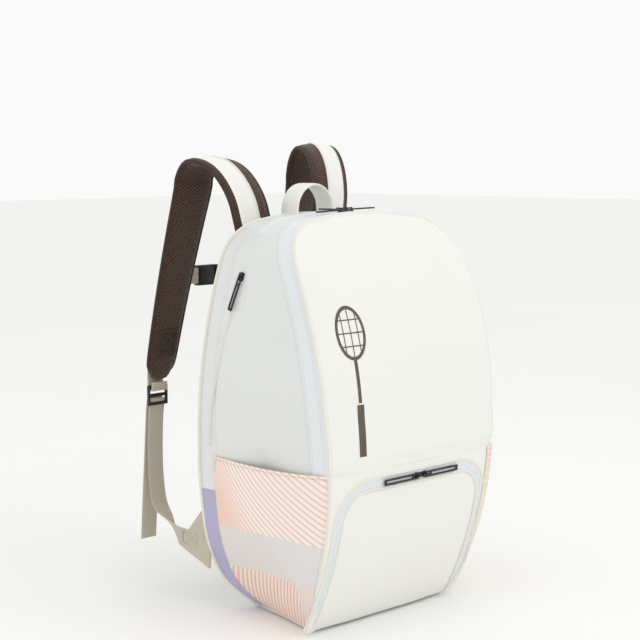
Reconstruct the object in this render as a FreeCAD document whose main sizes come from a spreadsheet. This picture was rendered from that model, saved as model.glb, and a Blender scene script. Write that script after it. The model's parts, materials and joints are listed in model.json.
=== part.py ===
# Racket backpack: a zipped textile shell on a flat base, with two padded shoulder straps.
# Millimetres. +Z is up, the zipped front faces -Y and the wearer's side faces +Y.
# The origin is on the ground, in the flat base, between the front and the back panel.
import FreeCAD, Part
import math
import os

import Sketcher

document = FreeCAD.newDocument("racket_backpack")

# ---------------------------------------------------------------- driving dimensions
SIZES = (
    # the shell, seen from the side
    ("bag_height", 497), ("belly_depth", 100), ("belly_height", 260), ("back_depth", 117),
    ("base_front", 44), ("base_rear", 78), ("toe_depth", 93), ("toe_height", 120),
    ("brow_depth", 68), ("brow_drop", 95), ("front_top_depth", 12), ("heel_height", 64),
    ("heel_inset", 5), ("back_height", 200), ("neck_depth", 98), ("neck_drop", 31),
    ("crest_depth", 66), ("crest_rise", 18),
    # the shell, seen from the front: how far each mark of the outline stands in from the full width
    ("bag_width", 312), ("floor_drop", 12),
    ("front_foot_tuck", 17.5), ("front_ankle_tuck", 15), ("front_ankle_height", 50),
    ("front_hip_tuck", 13.5), ("front_flank_tuck", 6), ("front_flank_height", 260),
    ("front_shoulder_tuck", 0), ("front_crown_tuck", 16.5), ("front_crown_drop", 24.5),
    ("front_brim_tuck", 56), ("front_brim_drop", 8), ("front_top_drop", 0),
    ("rear_foot_tuck", 112), ("rear_ankle_tuck", 50), ("rear_ankle_height", 27),
    ("rear_hip_tuck", 9), ("rear_flank_tuck", 6), ("rear_flank_height", 280),
    ("rear_shoulder_tuck", 32), ("rear_crown_tuck", 48), ("rear_crown_drop", 37),
    ("rear_brim_tuck", 81), ("rear_brim_drop", 17), ("rear_top_drop", 10),
    ("hip_height", 120), ("shoulder_drop", 67),
    # side pockets
    ("side_pocket_depth", 20), ("side_turn_height", 150), ("side_full_height", 300), ("hem_height", 198),
    # cloth, foam and boards
    ("cloth", 3), ("play", 0.4), ("pocket_depth", 14), ("foam", 8), ("board", 2),
    ("divider_depth", 26), ("divider_thickness", 4), ("tape_band", 28), ("rear_band", 24),
    # front pocket mouth
    ("mouth_fold_height", 26), ("mouth_zip_height", 180), ("mouth_half_width", 129),
    ("mouth_corner", 45), ("mouth_tape", 12), ("fold_gap", 5), ("front_seam_height", 200),
    # racket slot
    ("slot_start", 32), ("slot_end", 130), ("slot_half_width", 13), ("slot_depth", 42),
    ("slot_tape", 8), ("top_half_width", 75), ("zip_start", 118),
    # haul handle
    ("handle_half_span", 31), ("handle_rise", 38), ("handle_web", 30), ("handle_depth", 77), ("webbing", 2),
    # shoulder straps
    ("strap_root_side", 68), ("strap_root_gap", 8), ("strap_root_drop", 17), ("strap_peak_side", 95),
    ("strap_peak_depth", 158), ("strap_rise_left", 58), ("strap_rise_right", 74), ("strap_fold_depth", 183),
    ("strap_fold_rise", 20), ("strap_fold_side", 98), ("strap_tip_side", 117), ("strap_tip_depth", 232),
    ("strap_tip_height", 275), ("strap_root_width", 58), ("strap_tip_width", 42), ("strap_bow", 3),
    ("strap_mesh", 3), ("strap_core", 7), ("strap_cover", 2), ("cover_share", 0.6),
    ("strap_fold_gap", 4), ("yoke_height", 34),
    # adjusting webbing and its hardware
    ("strap_web", 25), ("lock_width", 32), ("lock_length", 26), ("lock_thickness", 4), ("lock_bar", 4),
    ("lock_drop", 6), ("loop_clear", 1.2), ("tail_end_height", 80), ("web_bend_rise", 60), ("tab_lap", 6),
    ("tab_low_height", 40), ("tab_high_height", 140), ("tab_reach", 54),
    ("tab_height", 75), ("tab_inset", 20), ("tab_thickness", 4),
    # chest strap
    ("chest_height", 407), ("chest_web", 20), ("buckle_side", 62), ("buckle_length", 24),
    ("buckle_width", 26), ("buckle_thickness", 9), ("buckle_wall", 1.8), ("chest_lap", 20),
    # sliders and pulls
    ("slider_length", 11), ("slider_width", 8), ("slider_plate", 2), ("bridge_half", 3.4),
    ("bridge_post", 1.6), ("bridge_width", 1.8), ("bridge_clear", 2.6), ("bridge_cap", 1.2),
    ("pull_width", 7.2), ("pull_thickness", 1.8), ("pull_eye_bar", 1.6), ("pull_slot", 3),
    ("side_zip_depth", 51), ("side_zip_drop", 79), ("side_zip_slope", 17),
    ("main_zip_inset", 10), ("main_zip_meeting", -14), ("pocket_zip_meeting", 8),
    ("front_pull", 60), ("main_pull", 42), ("racket_pull", 34), ("side_pull", 43),
)
sheet = document.addObject("Spreadsheet::Sheet", "sizes")
for row, (alias, value) in enumerate(SIZES, start=1):
    sheet.set(f"A{row}", alias)
    sheet.set(f"B{row}", str(value))
    sheet.setAlias(f"B{row}", alias)
document.recompute()

nodes = []


def mm(alias):
    """Size of one cell of the sheet."""
    return float(sheet.get(alias))


def bind(part, **expressions):
    """Tie properties of an object to the sheet: x, y, z stand for its place."""
    places = {"x": "Placement.Base.x", "y": "Placement.Base.y", "z": "Placement.Base.z"}
    for key, expression in expressions.items():
        part.setExpression(places.get(key, key), expression)
    return part


def form(name, shape, **place):
    """A free form that sketches and primitives can't give: curved cloth and moulded webbing."""
    part = document.addObject("Part::Feature", name)
    part.Shape = shape
    return bind(part, **place)


def block(name, x, y, z, length, width, height):
    """A box from six expressions on the sheet."""
    part = document.addObject("Part::Box", name)
    return bind(part, x=x, y=y, z=z, Length=length, Width=width, Height=height)


def common(name, first, second):
    part = document.addObject("Part::Common", name)
    part.Base = first
    part.Tool = second
    return part


def cut(name, base, tool):
    part = document.addObject("Part::Cut", name)
    part.Base = base
    part.Tool = tool
    return part


def fuse(name, *parts):
    part = document.addObject("Part::MultiFuse", name)
    part.Shapes = list(parts)
    return part


def node(part, label):
    """Name a finished sub-part: the label is its file's name."""
    part.Label = label
    nodes.append(part)
    return part


def arc(start, middle, end):
    return Part.Arc(FreeCAD.Vector(*start), FreeCAD.Vector(*middle), FreeCAD.Vector(*end)).toShape()


def line(start, end):
    return Part.LineSegment(FreeCAD.Vector(*start), FreeCAD.Vector(*end)).toShape()


# ---------------------------------------------------------------- forms of the cloth shell
FULL = 2 * mm("bag_width")


def side_profile():
    """Closed outline of the bag in the YZ plane, from the front of the base round to its back."""
    top = mm("bag_height")
    crest = top + mm("crest_rise")
    heel_radius = mm("back_depth") - mm("heel_inset") - mm("base_rear")
    lean = heel_radius * (1 - math.sqrt(0.5))
    foot = (0, -mm("base_front"), 0)
    belly = (0, -mm("belly_depth"), mm("belly_height"))
    brow = (0, -mm("front_top_depth"), top)
    front_crest = (0, mm("front_top_depth"), crest)
    rear_crest = (0, mm("crest_depth"), crest)
    neck = (0, mm("neck_depth"), top - mm("neck_drop"))
    heel = (0, mm("back_depth") - mm("heel_inset"), mm("heel_height"))
    base = (0, mm("base_rear"), 0)
    toe = (0, -mm("toe_depth"), mm("toe_height"))
    temple = (0, -mm("brow_depth"), top - mm("brow_drop"))
    spine = (0, mm("back_depth"), mm("back_height"))
    turn = (0, heel[1] - lean, mm("heel_height") * (1 - math.sqrt(0.5)))
    return Part.Wire([
        arc(foot, toe, belly), arc(belly, temple, brow), line(brow, front_crest),
        line(front_crest, rear_crest), line(rear_crest, neck), arc(neck, spine, heel),
        arc(heel, turn, base), line(base, foot),
    ])


def prism(inset):
    """The side profile, moved inwards by an inset, as a solid right across the bag."""
    wire = side_profile()
    if inset:
        wire = wire.makeOffset2D(-inset, 0)
    face = Part.Face(wire)
    face.translate(FreeCAD.Vector(-FULL / 2, 0, 0))
    return face.extrude(FreeCAD.Vector(FULL, 0, 0))


def marks(end):
    """How far in from the full width, and how high, the outline passes at one end of the bag."""
    top = mm("bag_height")
    return [
        (mm(end + "_foot_tuck"), -mm("floor_drop")),
        (mm(end + "_ankle_tuck"), mm(end + "_ankle_height")),
        (mm(end + "_hip_tuck"), mm("hip_height")),
        (mm(end + "_flank_tuck"), mm(end + "_flank_height")),
        (mm(end + "_shoulder_tuck"), top - mm("shoulder_drop")),
        (mm(end + "_crown_tuck"), top - mm(end + "_crown_drop")),
        (mm(end + "_brim_tuck"), top - mm(end + "_brim_drop")),
        (mm("bag_width") / 2, top - mm(end + "_top_drop")),
    ]


def outline(y, passing, inset):
    """Closed outline of the bag in an XZ plane through the marks, moved inwards by an inset."""
    half = mm("bag_width") / 2
    slanted = inset * math.sqrt(0.5)
    insets = [(inset, 0)] * 5 + [(slanted, slanted), (0, inset), (0, inset)]
    right = [(half - tuck - side, y, height - lower)
             for (tuck, height), (side, lower) in zip(passing, insets)]
    left = [(-x, y, z) for x, y, z in right]
    return Part.Wire([
        line(left[0], right[0]), arc(*right[0:3]), arc(*right[2:5]), arc(*right[4:7]),
        arc(right[6], right[7], left[6]), arc(*left[6:3:-1]), arc(*left[4:1:-1]), arc(*left[2::-1]),
    ])


def sleeve(inset, gap=0.0):
    """A tapering solid between the front and the rear outline. A gap draws its middle in."""
    beyond = 10
    front_y = -mm("belly_depth") - beyond
    rear_y = mm("back_depth") + beyond
    front = marks("front")
    rear = marks("rear")
    middle = [((a + c) / 2, (b + d) / 2) for (a, b), (c, d) in zip(front, rear)]
    if gap:
        drawn = [(tuck + gap, height) for tuck, height in middle[:3]]
        drawn[2] = (drawn[2][0], mm("side_turn_height"))
        middle = drawn + [(middle[3][0], mm("side_full_height"))] + middle[4:]
    wires = [outline(front_y, front, inset), outline((front_y + rear_y) / 2, middle, inset),
             outline(rear_y, rear, inset)]
    return Part.makeLoft(wires, True, True)


def shifted(shape, y):
    moved = shape.copy()
    moved.translate(FreeCAD.Vector(0, y, 0))
    return moved


cloth = mm("cloth")
inside = cloth + mm("play")
pocket_back = cloth + mm("pocket_depth")
outer_prism = form("outer_prism", prism(0))
inner_prism = form("inner_prism", prism(cloth))
side_prism = form("side_prism", prism(inside))
band_prism = form("band_prism", shifted(prism(inside), mm("tape_band")))
rear_prism = form("rear_prism", shifted(prism(inside), -mm("rear_band")))
outer_sleeve = form("outer_sleeve", sleeve(0))
pocket_sleeve = form("pocket_sleeve", sleeve(cloth))
side_sleeve = form("side_sleeve", sleeve(0, mm("side_pocket_depth")))
lining_sleeve = form("lining_sleeve", sleeve(cloth, mm("side_pocket_depth")))

below_hem = block("below_hem", "-sizes.bag_width", "-2 * sizes.belly_depth", "0 mm",
                  "2 * sizes.bag_width", "4 * sizes.belly_depth", "sizes.hem_height")
above_hem = block("above_hem", "-sizes.bag_width", "-2 * sizes.belly_depth", "sizes.hem_height",
                  "2 * sizes.bag_width", "4 * sizes.belly_depth", "sizes.bag_height")
front_half = block("front_half", "-sizes.bag_width", "-2 * sizes.belly_depth", "sizes.cloth",
                   "2 * sizes.bag_width", "2 * sizes.belly_depth", "2 * sizes.bag_height")
rear_half = block("rear_half", "-sizes.bag_width", "0 mm", "sizes.cloth",
                  "2 * sizes.bag_width", "2 * sizes.back_depth", "2 * sizes.bag_height")
left_half = block("left_half", "-sizes.bag_width", "-2 * sizes.belly_depth", "sizes.cloth",
                  "sizes.bag_width", "4 * sizes.belly_depth", "2 * sizes.bag_height")

# the whole bag as one solid, used to seat the things sewn onto it
low_core = common("low_core", pocket_sleeve, below_hem)
high_core = common("high_core", side_sleeve, above_hem)
core = fuse("core", low_core, high_core)
bag_solid = common("bag_solid", core, outer_prism)

# ---------------------------------------------------------------- base, front and back
rim_band = cut("rim_band", outer_prism, inner_prism)
wall_band = common("wall_band", rim_band, core)
base_slab = block("base_slab", "-sizes.bag_width", "-2 * sizes.belly_depth", "0 mm",
                  "2 * sizes.bag_width", "4 * sizes.belly_depth", "sizes.cloth")
node(common("base_cloth", bag_solid, base_slab), "base_panel")
back_cloth = common("back_cloth", wall_band, rear_half)
node(back_cloth, "back_panel")

fold_block = block("fold_block", "-sizes.bag_width", "-2 * sizes.belly_depth",
                   "sizes.front_seam_height - sizes.fold_gap / 2", "2 * sizes.bag_width",
                   "2 * sizes.belly_depth", "2 * sizes.bag_height")
flap_block = block("flap_block", "-sizes.bag_width", "-2 * sizes.belly_depth",
                   "sizes.front_seam_height + sizes.fold_gap / 2", "2 * sizes.bag_width",
                   "2 * sizes.belly_depth", "2 * sizes.bag_height")
front_wall = common("front_wall", wall_band, front_half)
node(common("front_flap_cloth", front_wall, flap_block), "front_panel")


def mouth(name, margin):
    """Arched outline of the front pocket's mouth, seen from the front, as a solid across the front."""
    half = mm("mouth_half_width") + margin
    low = mm("mouth_fold_height")
    high = mm("mouth_zip_height") + margin
    corner = mm("mouth_corner") + margin
    depth = -2 * mm("belly_depth")
    slant = corner * (1 - math.sqrt(0.5))
    wire = Part.Wire([
        line((-half, depth, low), (half, depth, low)),
        line((half, depth, low), (half, depth, high - corner)),
        arc((half, depth, high - corner), (half - slant, depth, high - slant), (half - corner, depth, high)),
        line((half - corner, depth, high), (corner - half, depth, high)),
        arc((corner - half, depth, high), (slant - half, depth, high - slant), (-half, depth, high - corner)),
        line((-half, depth, high - corner), (-half, depth, low)),
    ])
    return form(name, Part.Face(wire).extrude(FreeCAD.Vector(0, 2 * mm("belly_depth"), 0)))


half_tape = mm("mouth_tape") / 2
mouth_outer = mouth("mouth_outer", half_tape)
mouth_inner = mouth("mouth_inner", -half_tape)
mouth_flap_form = mouth("mouth_flap_form", -half_tape - mm("play"))
lower_wall = cut("lower_wall", front_wall, fold_block)
node(cut("lower_front", lower_wall, mouth_outer), "pocket_panel")
mouth_ring = cut("mouth_ring", mouth_outer, mouth_inner)
node(common("mouth_tape_cloth", lower_wall, mouth_ring), "pocket_zip_tape")
flap_floor = block("flap_floor", "-sizes.bag_width", "-2 * sizes.belly_depth",
                   "sizes.mouth_fold_height + sizes.fold_gap / 2", "2 * sizes.bag_width",
                   "2 * sizes.belly_depth", "sizes.bag_height")
mouth_cloth = common("mouth_cloth", lower_wall, mouth_flap_form)
node(common("mouth_flap_cloth", mouth_cloth, flap_floor), "pocket_flap")

# the wall behind the front pocket, with the roof that closes the pocket at the front seam
pocket_front = form("pocket_front", prism(pocket_back))
pocket_rear = form("pocket_rear", prism(pocket_back + cloth))
back_sheet = cut("back_sheet", pocket_front, pocket_rear)
roof_sheet = cut("roof_sheet", inner_prism, pocket_rear)
roof_slab = block("roof_slab", "-sizes.bag_width", "-2 * sizes.belly_depth",
                  "sizes.hem_height - 2 * sizes.cloth", "2 * sizes.bag_width",
                  "2 * sizes.belly_depth - sizes.base_front", "sizes.cloth")
pocket_roof = common("pocket_roof", roof_sheet, roof_slab)
sheet_slab = block("sheet_slab", "-sizes.bag_width", "-2 * sizes.belly_depth", "sizes.cloth + sizes.board",
                   "2 * sizes.bag_width", "2 * sizes.belly_depth - sizes.front_top_depth",
                   "sizes.hem_height - 3 * sizes.cloth - sizes.board")
pocket_sheet = common("pocket_sheet", back_sheet, sheet_slab)
pocket_wall = fuse("pocket_wall", pocket_sheet, pocket_roof)
node(common("pocket_wall_cloth", pocket_wall, lining_sleeve), "pocket_back_wall")

# ---------------------------------------------------------------- side pockets, sides and top
# a side pocket is the outer skin below the hem, from the front seam to the back seam
pocket_skin = cut("pocket_skin", outer_sleeve, pocket_sleeve)
pocket_ring = common("pocket_ring", pocket_skin, outer_prism)
pocket_zone = block("pocket_zone", "-sizes.bag_width", "-2 * sizes.belly_depth", "sizes.cloth",
                    "2 * sizes.bag_width", "4 * sizes.belly_depth", "sizes.hem_height - sizes.cloth")
pocket_low = common("pocket_low", pocket_ring, pocket_zone)
node(common("left_pocket_cloth", pocket_low, left_half), "left_side_pocket")
node(cut("right_pocket_cloth", pocket_low, left_half), "right_side_pocket")

side_shell = cut("side_shell", side_sleeve, lining_sleeve)
side_ring = common("side_ring", side_shell, side_prism)
above_base = block("above_base", "-sizes.bag_width", "-2 * sizes.belly_depth", "sizes.cloth + sizes.play",
                   "2 * sizes.bag_width", "4 * sizes.belly_depth", "2 * sizes.bag_height")
side_ring_high = common("side_ring_high", side_ring, above_base)
side_wall = cut("side_wall", side_ring_high, pocket_low)
band_wall = cut("band_wall", side_wall, band_prism)
tape_wall = common("tape_wall", band_wall, above_hem)
node(common("front_tape_wall", tape_wall, front_half), "main_zip_tape")

lens_reach = mm("slot_end") - mm("slot_start")


def lens(name, margin):
    """Eye-shaped racket slot, seen from above, as an upright solid through the top."""
    left = (mm("slot_start") - margin, mm("slot_depth"), 0)
    right = (mm("slot_end") + margin, mm("slot_depth"), 0)
    middle = mm("slot_start") + lens_reach / 2
    half = mm("slot_half_width") + margin
    wire = Part.Wire([
        arc(left, (middle, mm("slot_depth") - half, 0), right),
        arc(right, (middle, mm("slot_depth") + half, 0), left),
    ])
    solid = Part.Face(wire).extrude(FreeCAD.Vector(0, 0, mm("bag_height")))
    return form(name, solid, z="sizes.bag_height - 2 * sizes.shoulder_drop")


slot_lens = lens("slot_lens", 0.0)
tape_lens = lens("tape_lens", mm("slot_tape"))
closed_tape = block("closed_tape", "-sizes.zip_start", "sizes.slot_depth - sizes.slot_tape",
                    "sizes.bag_height - 2 * sizes.shoulder_drop", "sizes.zip_start + sizes.slot_start",
                    "4 * sizes.slot_tape", "sizes.bag_height")
slot_band = fuse("slot_band", tape_lens, closed_tape)
middle_wall = common("middle_wall", side_wall, band_prism)
main_wall = common("main_wall", middle_wall, rear_prism)
rear_wall = cut("rear_wall", middle_wall, rear_prism)
taped_wall = cut("taped_wall", main_wall, slot_band)
slot_cloth = common("slot_cloth", main_wall, slot_band)
node(cut("slot_tape_cloth", slot_cloth, slot_lens), "racket_zip_tape")
top_strip = block("top_strip", "-sizes.top_half_width", "-2 * sizes.belly_depth",
                  "sizes.bag_height - 2 * sizes.shoulder_drop", "2 * sizes.top_half_width",
                  "4 * sizes.belly_depth", "sizes.bag_height")
node(common("top_cloth", taped_wall, top_strip), "top_panel")
side_cloth = cut("side_cloth", taped_wall, top_strip)
node(common("left_side_cloth", side_cloth, left_half), "left_side_panel")
node(cut("right_side_cloth", side_cloth, left_half), "right_side_panel")
low_front_band = common("low_front_band", band_wall, below_hem)
node(common("left_band_cloth", low_front_band, left_half), "left_front_binding")
node(cut("right_band_cloth", low_front_band, left_half), "right_front_binding")
node(common("left_rear_cloth", rear_wall, left_half), "left_rear_gusset")
node(cut("right_rear_cloth", rear_wall, left_half), "right_rear_gusset")

# ---------------------------------------------------------------- what the bag holds inside
foam_prism = form("foam_prism", prism(cloth + mm("foam")))
back_core = cut("back_core", inner_prism, foam_prism)
core_zone = block("core_zone", "sizes.neck_depth - sizes.bag_width", "sizes.crest_depth",
                  "sizes.heel_height / 2", "2 * (sizes.bag_width - sizes.neck_depth)", "sizes.back_depth",
                  "sizes.bag_height - 2 * sizes.neck_drop - sizes.heel_height / 2")
back_half_width = block("back_half_width", "-sizes.bag_width / 2 + 2 * sizes.neck_drop", "0 mm", "0 mm",
                        "sizes.bag_width - 4 * sizes.neck_drop", "2 * sizes.back_depth", "sizes.bag_height")
back_zone = common("back_zone", core_zone, back_half_width)
node(common("back_pad", back_core, back_zone), "back_foam")
board_skin = cut("board_skin", foam_prism, form("board_prism", prism(cloth + mm("foam") + mm("board"))))
node(common("back_board", board_skin, back_zone), "back_stiffener")

divider_slab = block("divider_slab", "-sizes.bag_width", "sizes.divider_depth", "sizes.cloth + sizes.board",
                     "2 * sizes.bag_width", "sizes.divider_thickness",
                     "sizes.bag_height - 2 * sizes.neck_drop")
inner_sleeve = form("inner_sleeve", sleeve(cloth + mm("play"), mm("side_pocket_depth")))
node(common("divider", divider_slab, inner_sleeve), "racket_divider")
board_slab = block("board_slab", "-sizes.bag_width", "-sizes.base_front + 4 * sizes.cloth", "sizes.cloth",
                   "2 * sizes.bag_width", "sizes.base_front + sizes.base_rear - 8 * sizes.cloth",
                   "sizes.board")
node(common("base_stiffener", board_slab, inner_sleeve), "base_board")

# ---------------------------------------------------------------- webbing and straps


def ribbon(stations, low, high):
    """Flat band through stations (x, y, z, width, normal y, normal z), from low to high along the normal."""
    rings = []
    for x, y, z, width, ny, nz in stations:
        rings.append([FreeCAD.Vector(x + side * width / 2, y + height * ny, z + height * nz)
                      for side, height in ((-1, low), (1, low), (1, high), (-1, high))])
    outlines = [rings[0], rings[-1]]
    for ring, after in zip(rings, rings[1:]):
        outlines.append([ring[0], ring[1], after[1], after[0]])
        outlines.append([ring[2], ring[3], after[3], after[2]])
        for edge in ((1, 2), (3, 0)):
            outlines.append([ring[edge[0]], ring[edge[1]], after[edge[1]]])
            outlines.append([ring[edge[0]], after[edge[1]], after[edge[0]]])
    faces = [Part.Face(Part.makePolygon(corners + corners[:1])) for corners in outlines]
    solid = Part.Solid(Part.makeShell(faces))
    if solid.Volume < 0:
        solid.reverse()
    return solid


def with_normals(points):
    """Add to each point the normal of the path, in the YZ plane, on its outer side."""
    stations = []
    last = len(points) - 1
    for index, (x, y, z, width) in enumerate(points):
        before = points[max(index - 1, 0)]
        after = points[min(index + 1, last)]
        along_y = after[1] - before[1]
        along_z = after[2] - before[2]
        length = math.hypot(along_y, along_z)
        stations.append((x, y, z, width, -along_z / length, along_y / length))
    return stations


def strap_points(side, rise):
    """Middle line of a shoulder strap: up from the neck seam, over, and down to its tip."""
    top = mm("bag_height")
    root_y = mm("neck_depth") + mm("strap_root_gap")
    root_z = top - mm("strap_root_drop")
    peak_y = mm("strap_peak_depth")
    peak_z = top + rise
    fold_y = mm("strap_fold_depth")
    fold_z = top + mm("strap_fold_rise")
    tip_y = mm("strap_tip_depth")
    tip_z = mm("strap_tip_height")
    steps = 5
    points = []
    for step in range(steps):
        turn = math.radians(90.0 * step / steps)
        x = mm("strap_root_side") + (mm("strap_peak_side") - mm("strap_root_side")) * step / steps
        points.append((x, peak_y - (peak_y - root_y) * math.cos(turn),
                       root_z + (peak_z - root_z) * math.sin(turn), mm("strap_root_width")))
    for step in range(steps):
        turn = math.radians(90.0 * step / steps)
        x = mm("strap_peak_side") + (mm("strap_fold_side") - mm("strap_peak_side")) * step / steps
        points.append((x, peak_y + (fold_y - peak_y) * math.sin(turn),
                       fold_z + (peak_z - fold_z) * math.cos(turn), mm("strap_root_width")))
    for step in range(steps + 1):
        share = step / steps
        x = mm("strap_fold_side") + (mm("strap_tip_side") - mm("strap_fold_side")) * share
        bow = mm("strap_bow") * math.sin(math.pi * share)
        width = mm("strap_root_width") + (mm("strap_tip_width") - mm("strap_root_width")) * share
        points.append((x, fold_y + (tip_y - fold_y) * share + bow, fold_z + (tip_z - fold_z) * share, width))
    return [(side * x, y, z, width) for x, y, z, width in points]


def narrowed(stations, side, share, shift):
    """A band on the same path with part of the width, moved towards the outer edge."""
    return [(x + side * shift * width, y, z, width * share, ny, nz) for x, y, z, width, ny, nz in stations]


def strap_section(points, height):
    """Place and slope of a strap's path where it passes a height on its way down."""
    for upper, lower in zip(points[len(points) // 2:], points[len(points) // 2 + 1:]):
        if lower[2] <= height <= upper[2]:
            share = (upper[2] - height) / (upper[2] - lower[2])
            return [a + (b - a) * share for a, b in zip(upper, lower)]
    return points[-1]


yoke_block = block("yoke_block", "-sizes.strap_root_side - sizes.strap_root_width / 2",
                   "sizes.crest_depth",
                   "sizes.bag_height - sizes.strap_root_drop - sizes.strap_fold_gap - sizes.yoke_height",
                   "2 * sizes.strap_root_side + sizes.strap_root_width",
                   "sizes.neck_depth + sizes.strap_root_gap + sizes.strap_core / 2 - sizes.crest_depth",
                   "sizes.yoke_height")
node(cut("yoke", yoke_block, outer_prism), "strap_yoke")

core_low = -mm("strap_core") / 2
core_high = mm("strap_core") / 2
mesh_low = core_low - mm("strap_mesh")
cover_high = core_high + mm("strap_cover")
web_half = mm("webbing") / 2
slanted = math.sqrt(0.5)
cover_shift = (1 - mm("cover_share")) / 2
for word, side, rise in (("left", -1, mm("strap_rise_left")), ("right", 1, mm("strap_rise_right"))):
    points = strap_points(side, rise)
    stations = with_normals(points)
    node(form(word + "_core", ribbon(stations, core_low, core_high)), word + "_strap_foam")
    node(form(word + "_mesh", ribbon(stations, mesh_low, core_low)), word + "_strap_mesh")
    cover = ribbon(narrowed(stations, side, mm("cover_share"), cover_shift), core_high, cover_high)
    node(form(word + "_cover", cover), word + "_strap_cover")

    # webbing stub, ladder lock and adjusting webbing below the tip
    tip_x, tip_y, tip_z, tip_width = points[-1]
    lock_top = tip_z - mm("lock_drop")
    lock_z = lock_top - mm("lock_length") / 2
    clear = mm("loop_clear")
    lock_y = tip_y + cover_high - mm("lock_thickness") / 2 - clear
    bar = mm("lock_bar")
    slot_height = mm("lock_length") / 2 - 1.5 * bar
    web = mm("strap_web")
    lap = 3 * bar
    rail = (mm("lock_width") - web) / 2 - mm("play")
    opening = mm("lock_width") - 2 * rail
    corner = FreeCAD.Vector(tip_x - mm("lock_width") / 2, lock_y - mm("lock_thickness") / 2,
                            lock_z - mm("lock_length") / 2)
    plate = Part.makeBox(mm("lock_width"), mm("lock_thickness"), mm("lock_length"), corner)
    for low in (bar, mm("lock_length") / 2 + bar / 2):
        plate = plate.cut(Part.makeBox(opening, mm("lock_thickness"), slot_height,
                                       corner + FreeCAD.Vector(rail, 0, low)))
    node(form(word + "_lock", plate), word + "_ladder_lock")

    # the stub is a loop round the lock's top bar, sewn on the strap's tip
    inner_y = lock_y - mm("lock_thickness") / 2 - clear
    outer_y = lock_y + mm("lock_thickness") / 2 + clear
    bar_low = lock_top - bar - clear
    thick = mm("webbing")
    stub = Part.makeBox(web, thick, lap + mm("lock_drop") + bar + clear + thick,
                        FreeCAD.Vector(tip_x - web / 2, outer_y, bar_low - thick))
    stub = stub.fuse(Part.makeBox(web, outer_y - inner_y + thick, thick,
                                  FreeCAD.Vector(tip_x - web / 2, inner_y, bar_low - thick)))
    stub = stub.fuse(Part.makeBox(web, thick, mm("lock_drop") + bar + clear,
                                  FreeCAD.Vector(tip_x - web / 2, inner_y - thick, bar_low - thick)))
    node(form(word + "_stub", stub.removeSplitter()), word + "_strap_stub")

    # one webbing: from the bag's tab up behind the lock, round its lower bar and down as a free tail
    low_bar = lock_z - mm("lock_length") / 2
    turn_z = low_bar + bar + clear
    tab_x = side * (mm("bag_width") / 2 - mm("tab_inset") + mm("tab_thickness") / 2)
    tab_y = mm("back_depth") + mm("tab_reach")
    front_y = inner_y - thick
    rear_run = ribbon([
        (tip_x, front_y, turn_z + thick, web, 1, 0),
        (tip_x, front_y + thick, mm("tab_height") + mm("web_bend_rise"), web, 1, 0),
        (tab_x, tab_y + mm("tab_lap"), mm("tab_height") + mm("tab_lap"), web, slanted, slanted),
    ], 0, thick)
    turn = Part.makeBox(web, outer_y - front_y + thick, thick,
                        FreeCAD.Vector(tip_x - web / 2, front_y, turn_z))
    tail = Part.makeBox(web, thick, turn_z + thick - mm("tail_end_height"),
                        FreeCAD.Vector(tip_x - web / 2, outer_y, mm("tail_end_height")))
    node(form(word + "_adjuster", rear_run.fuse([turn, tail]).removeSplitter()), word + "_strap_webbing")

    # triangular tab sewn into the seam between the back and the side
    corners = [(mm("base_rear"), mm("tab_low_height")), (tab_y, mm("tab_height")),
               (mm("back_depth") - mm("tab_thickness"), mm("tab_high_height")),
               (mm("base_rear"), mm("tab_high_height"))]
    ring = [FreeCAD.Vector(0, y, z) for y, z in corners]
    wedge = Part.Face(Part.makePolygon(ring + ring[:1])).extrude(FreeCAD.Vector(mm("tab_thickness"), 0, 0))
    tab = form(word + "_tab_form", wedge,
               x="sizes.bag_width / 2 - sizes.tab_inset" if side > 0
               else "sizes.tab_inset - sizes.bag_width / 2 - sizes.tab_thickness")
    node(cut(word + "_tab_seated", tab, outer_prism), word + "_lower_tab")

# haul handle: a webbing arch over the middle of the top, sewn in at both legs
half_span = mm("handle_half_span")
handle_base = mm("bag_height") - 2 * mm("neck_drop")
handle_top = mm("bag_height") - mm("rear_top_drop") + mm("handle_rise")
spring_line = handle_top - half_span


def handle_outline(reach):
    """U turned upside down, reach out from its middle line."""
    radius = half_span + reach
    return [
        ((-radius, 0, handle_base), (-radius, 0, spring_line)),
        ((-radius, 0, spring_line), (0, 0, spring_line + radius), (radius, 0, spring_line)),
        ((radius, 0, spring_line), (radius, 0, handle_base)),
    ]


outer_leg, outer_arch, outer_end = handle_outline(web_half)
inner_leg, inner_arch, inner_end = handle_outline(-web_half)
handle_wire = Part.Wire([
    line(*outer_leg), arc(*outer_arch), line(*outer_end), line(outer_end[1], inner_end[1]),
    line(inner_end[1], inner_end[0]), arc(*inner_arch[::-1]), line(inner_leg[1], inner_leg[0]),
    line(inner_leg[0], outer_leg[0]),
])
handle_form = form("handle_form", Part.Face(handle_wire).extrude(FreeCAD.Vector(0, mm("handle_web"), 0)),
                   y="sizes.handle_depth - sizes.handle_web / 2")
node(cut("handle_seated", handle_form, bag_solid), "haul_handle")

# chest strap: webbing from each shoulder strap to a side-release buckle
left_points = strap_points(-1, mm("strap_rise_left"))
right_points = strap_points(1, mm("strap_rise_right"))
left_at = strap_section(left_points, mm("chest_height"))
right_at = strap_section(right_points, mm("chest_height"))
chest_y = left_at[1] + cover_high + mm("buckle_thickness") / 2 + 2 * mm("play")
buckle_x = -mm("buckle_side")


def side_box(x, y, z, length, depth, height):
    """A box whose place is measured from the buckle's left end, middle depth and middle height."""
    corner = FreeCAD.Vector(buckle_x + x, chest_y + y - depth / 2, mm("chest_height") + z - height / 2)
    return Part.makeBox(length, depth, height, corner)


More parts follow.
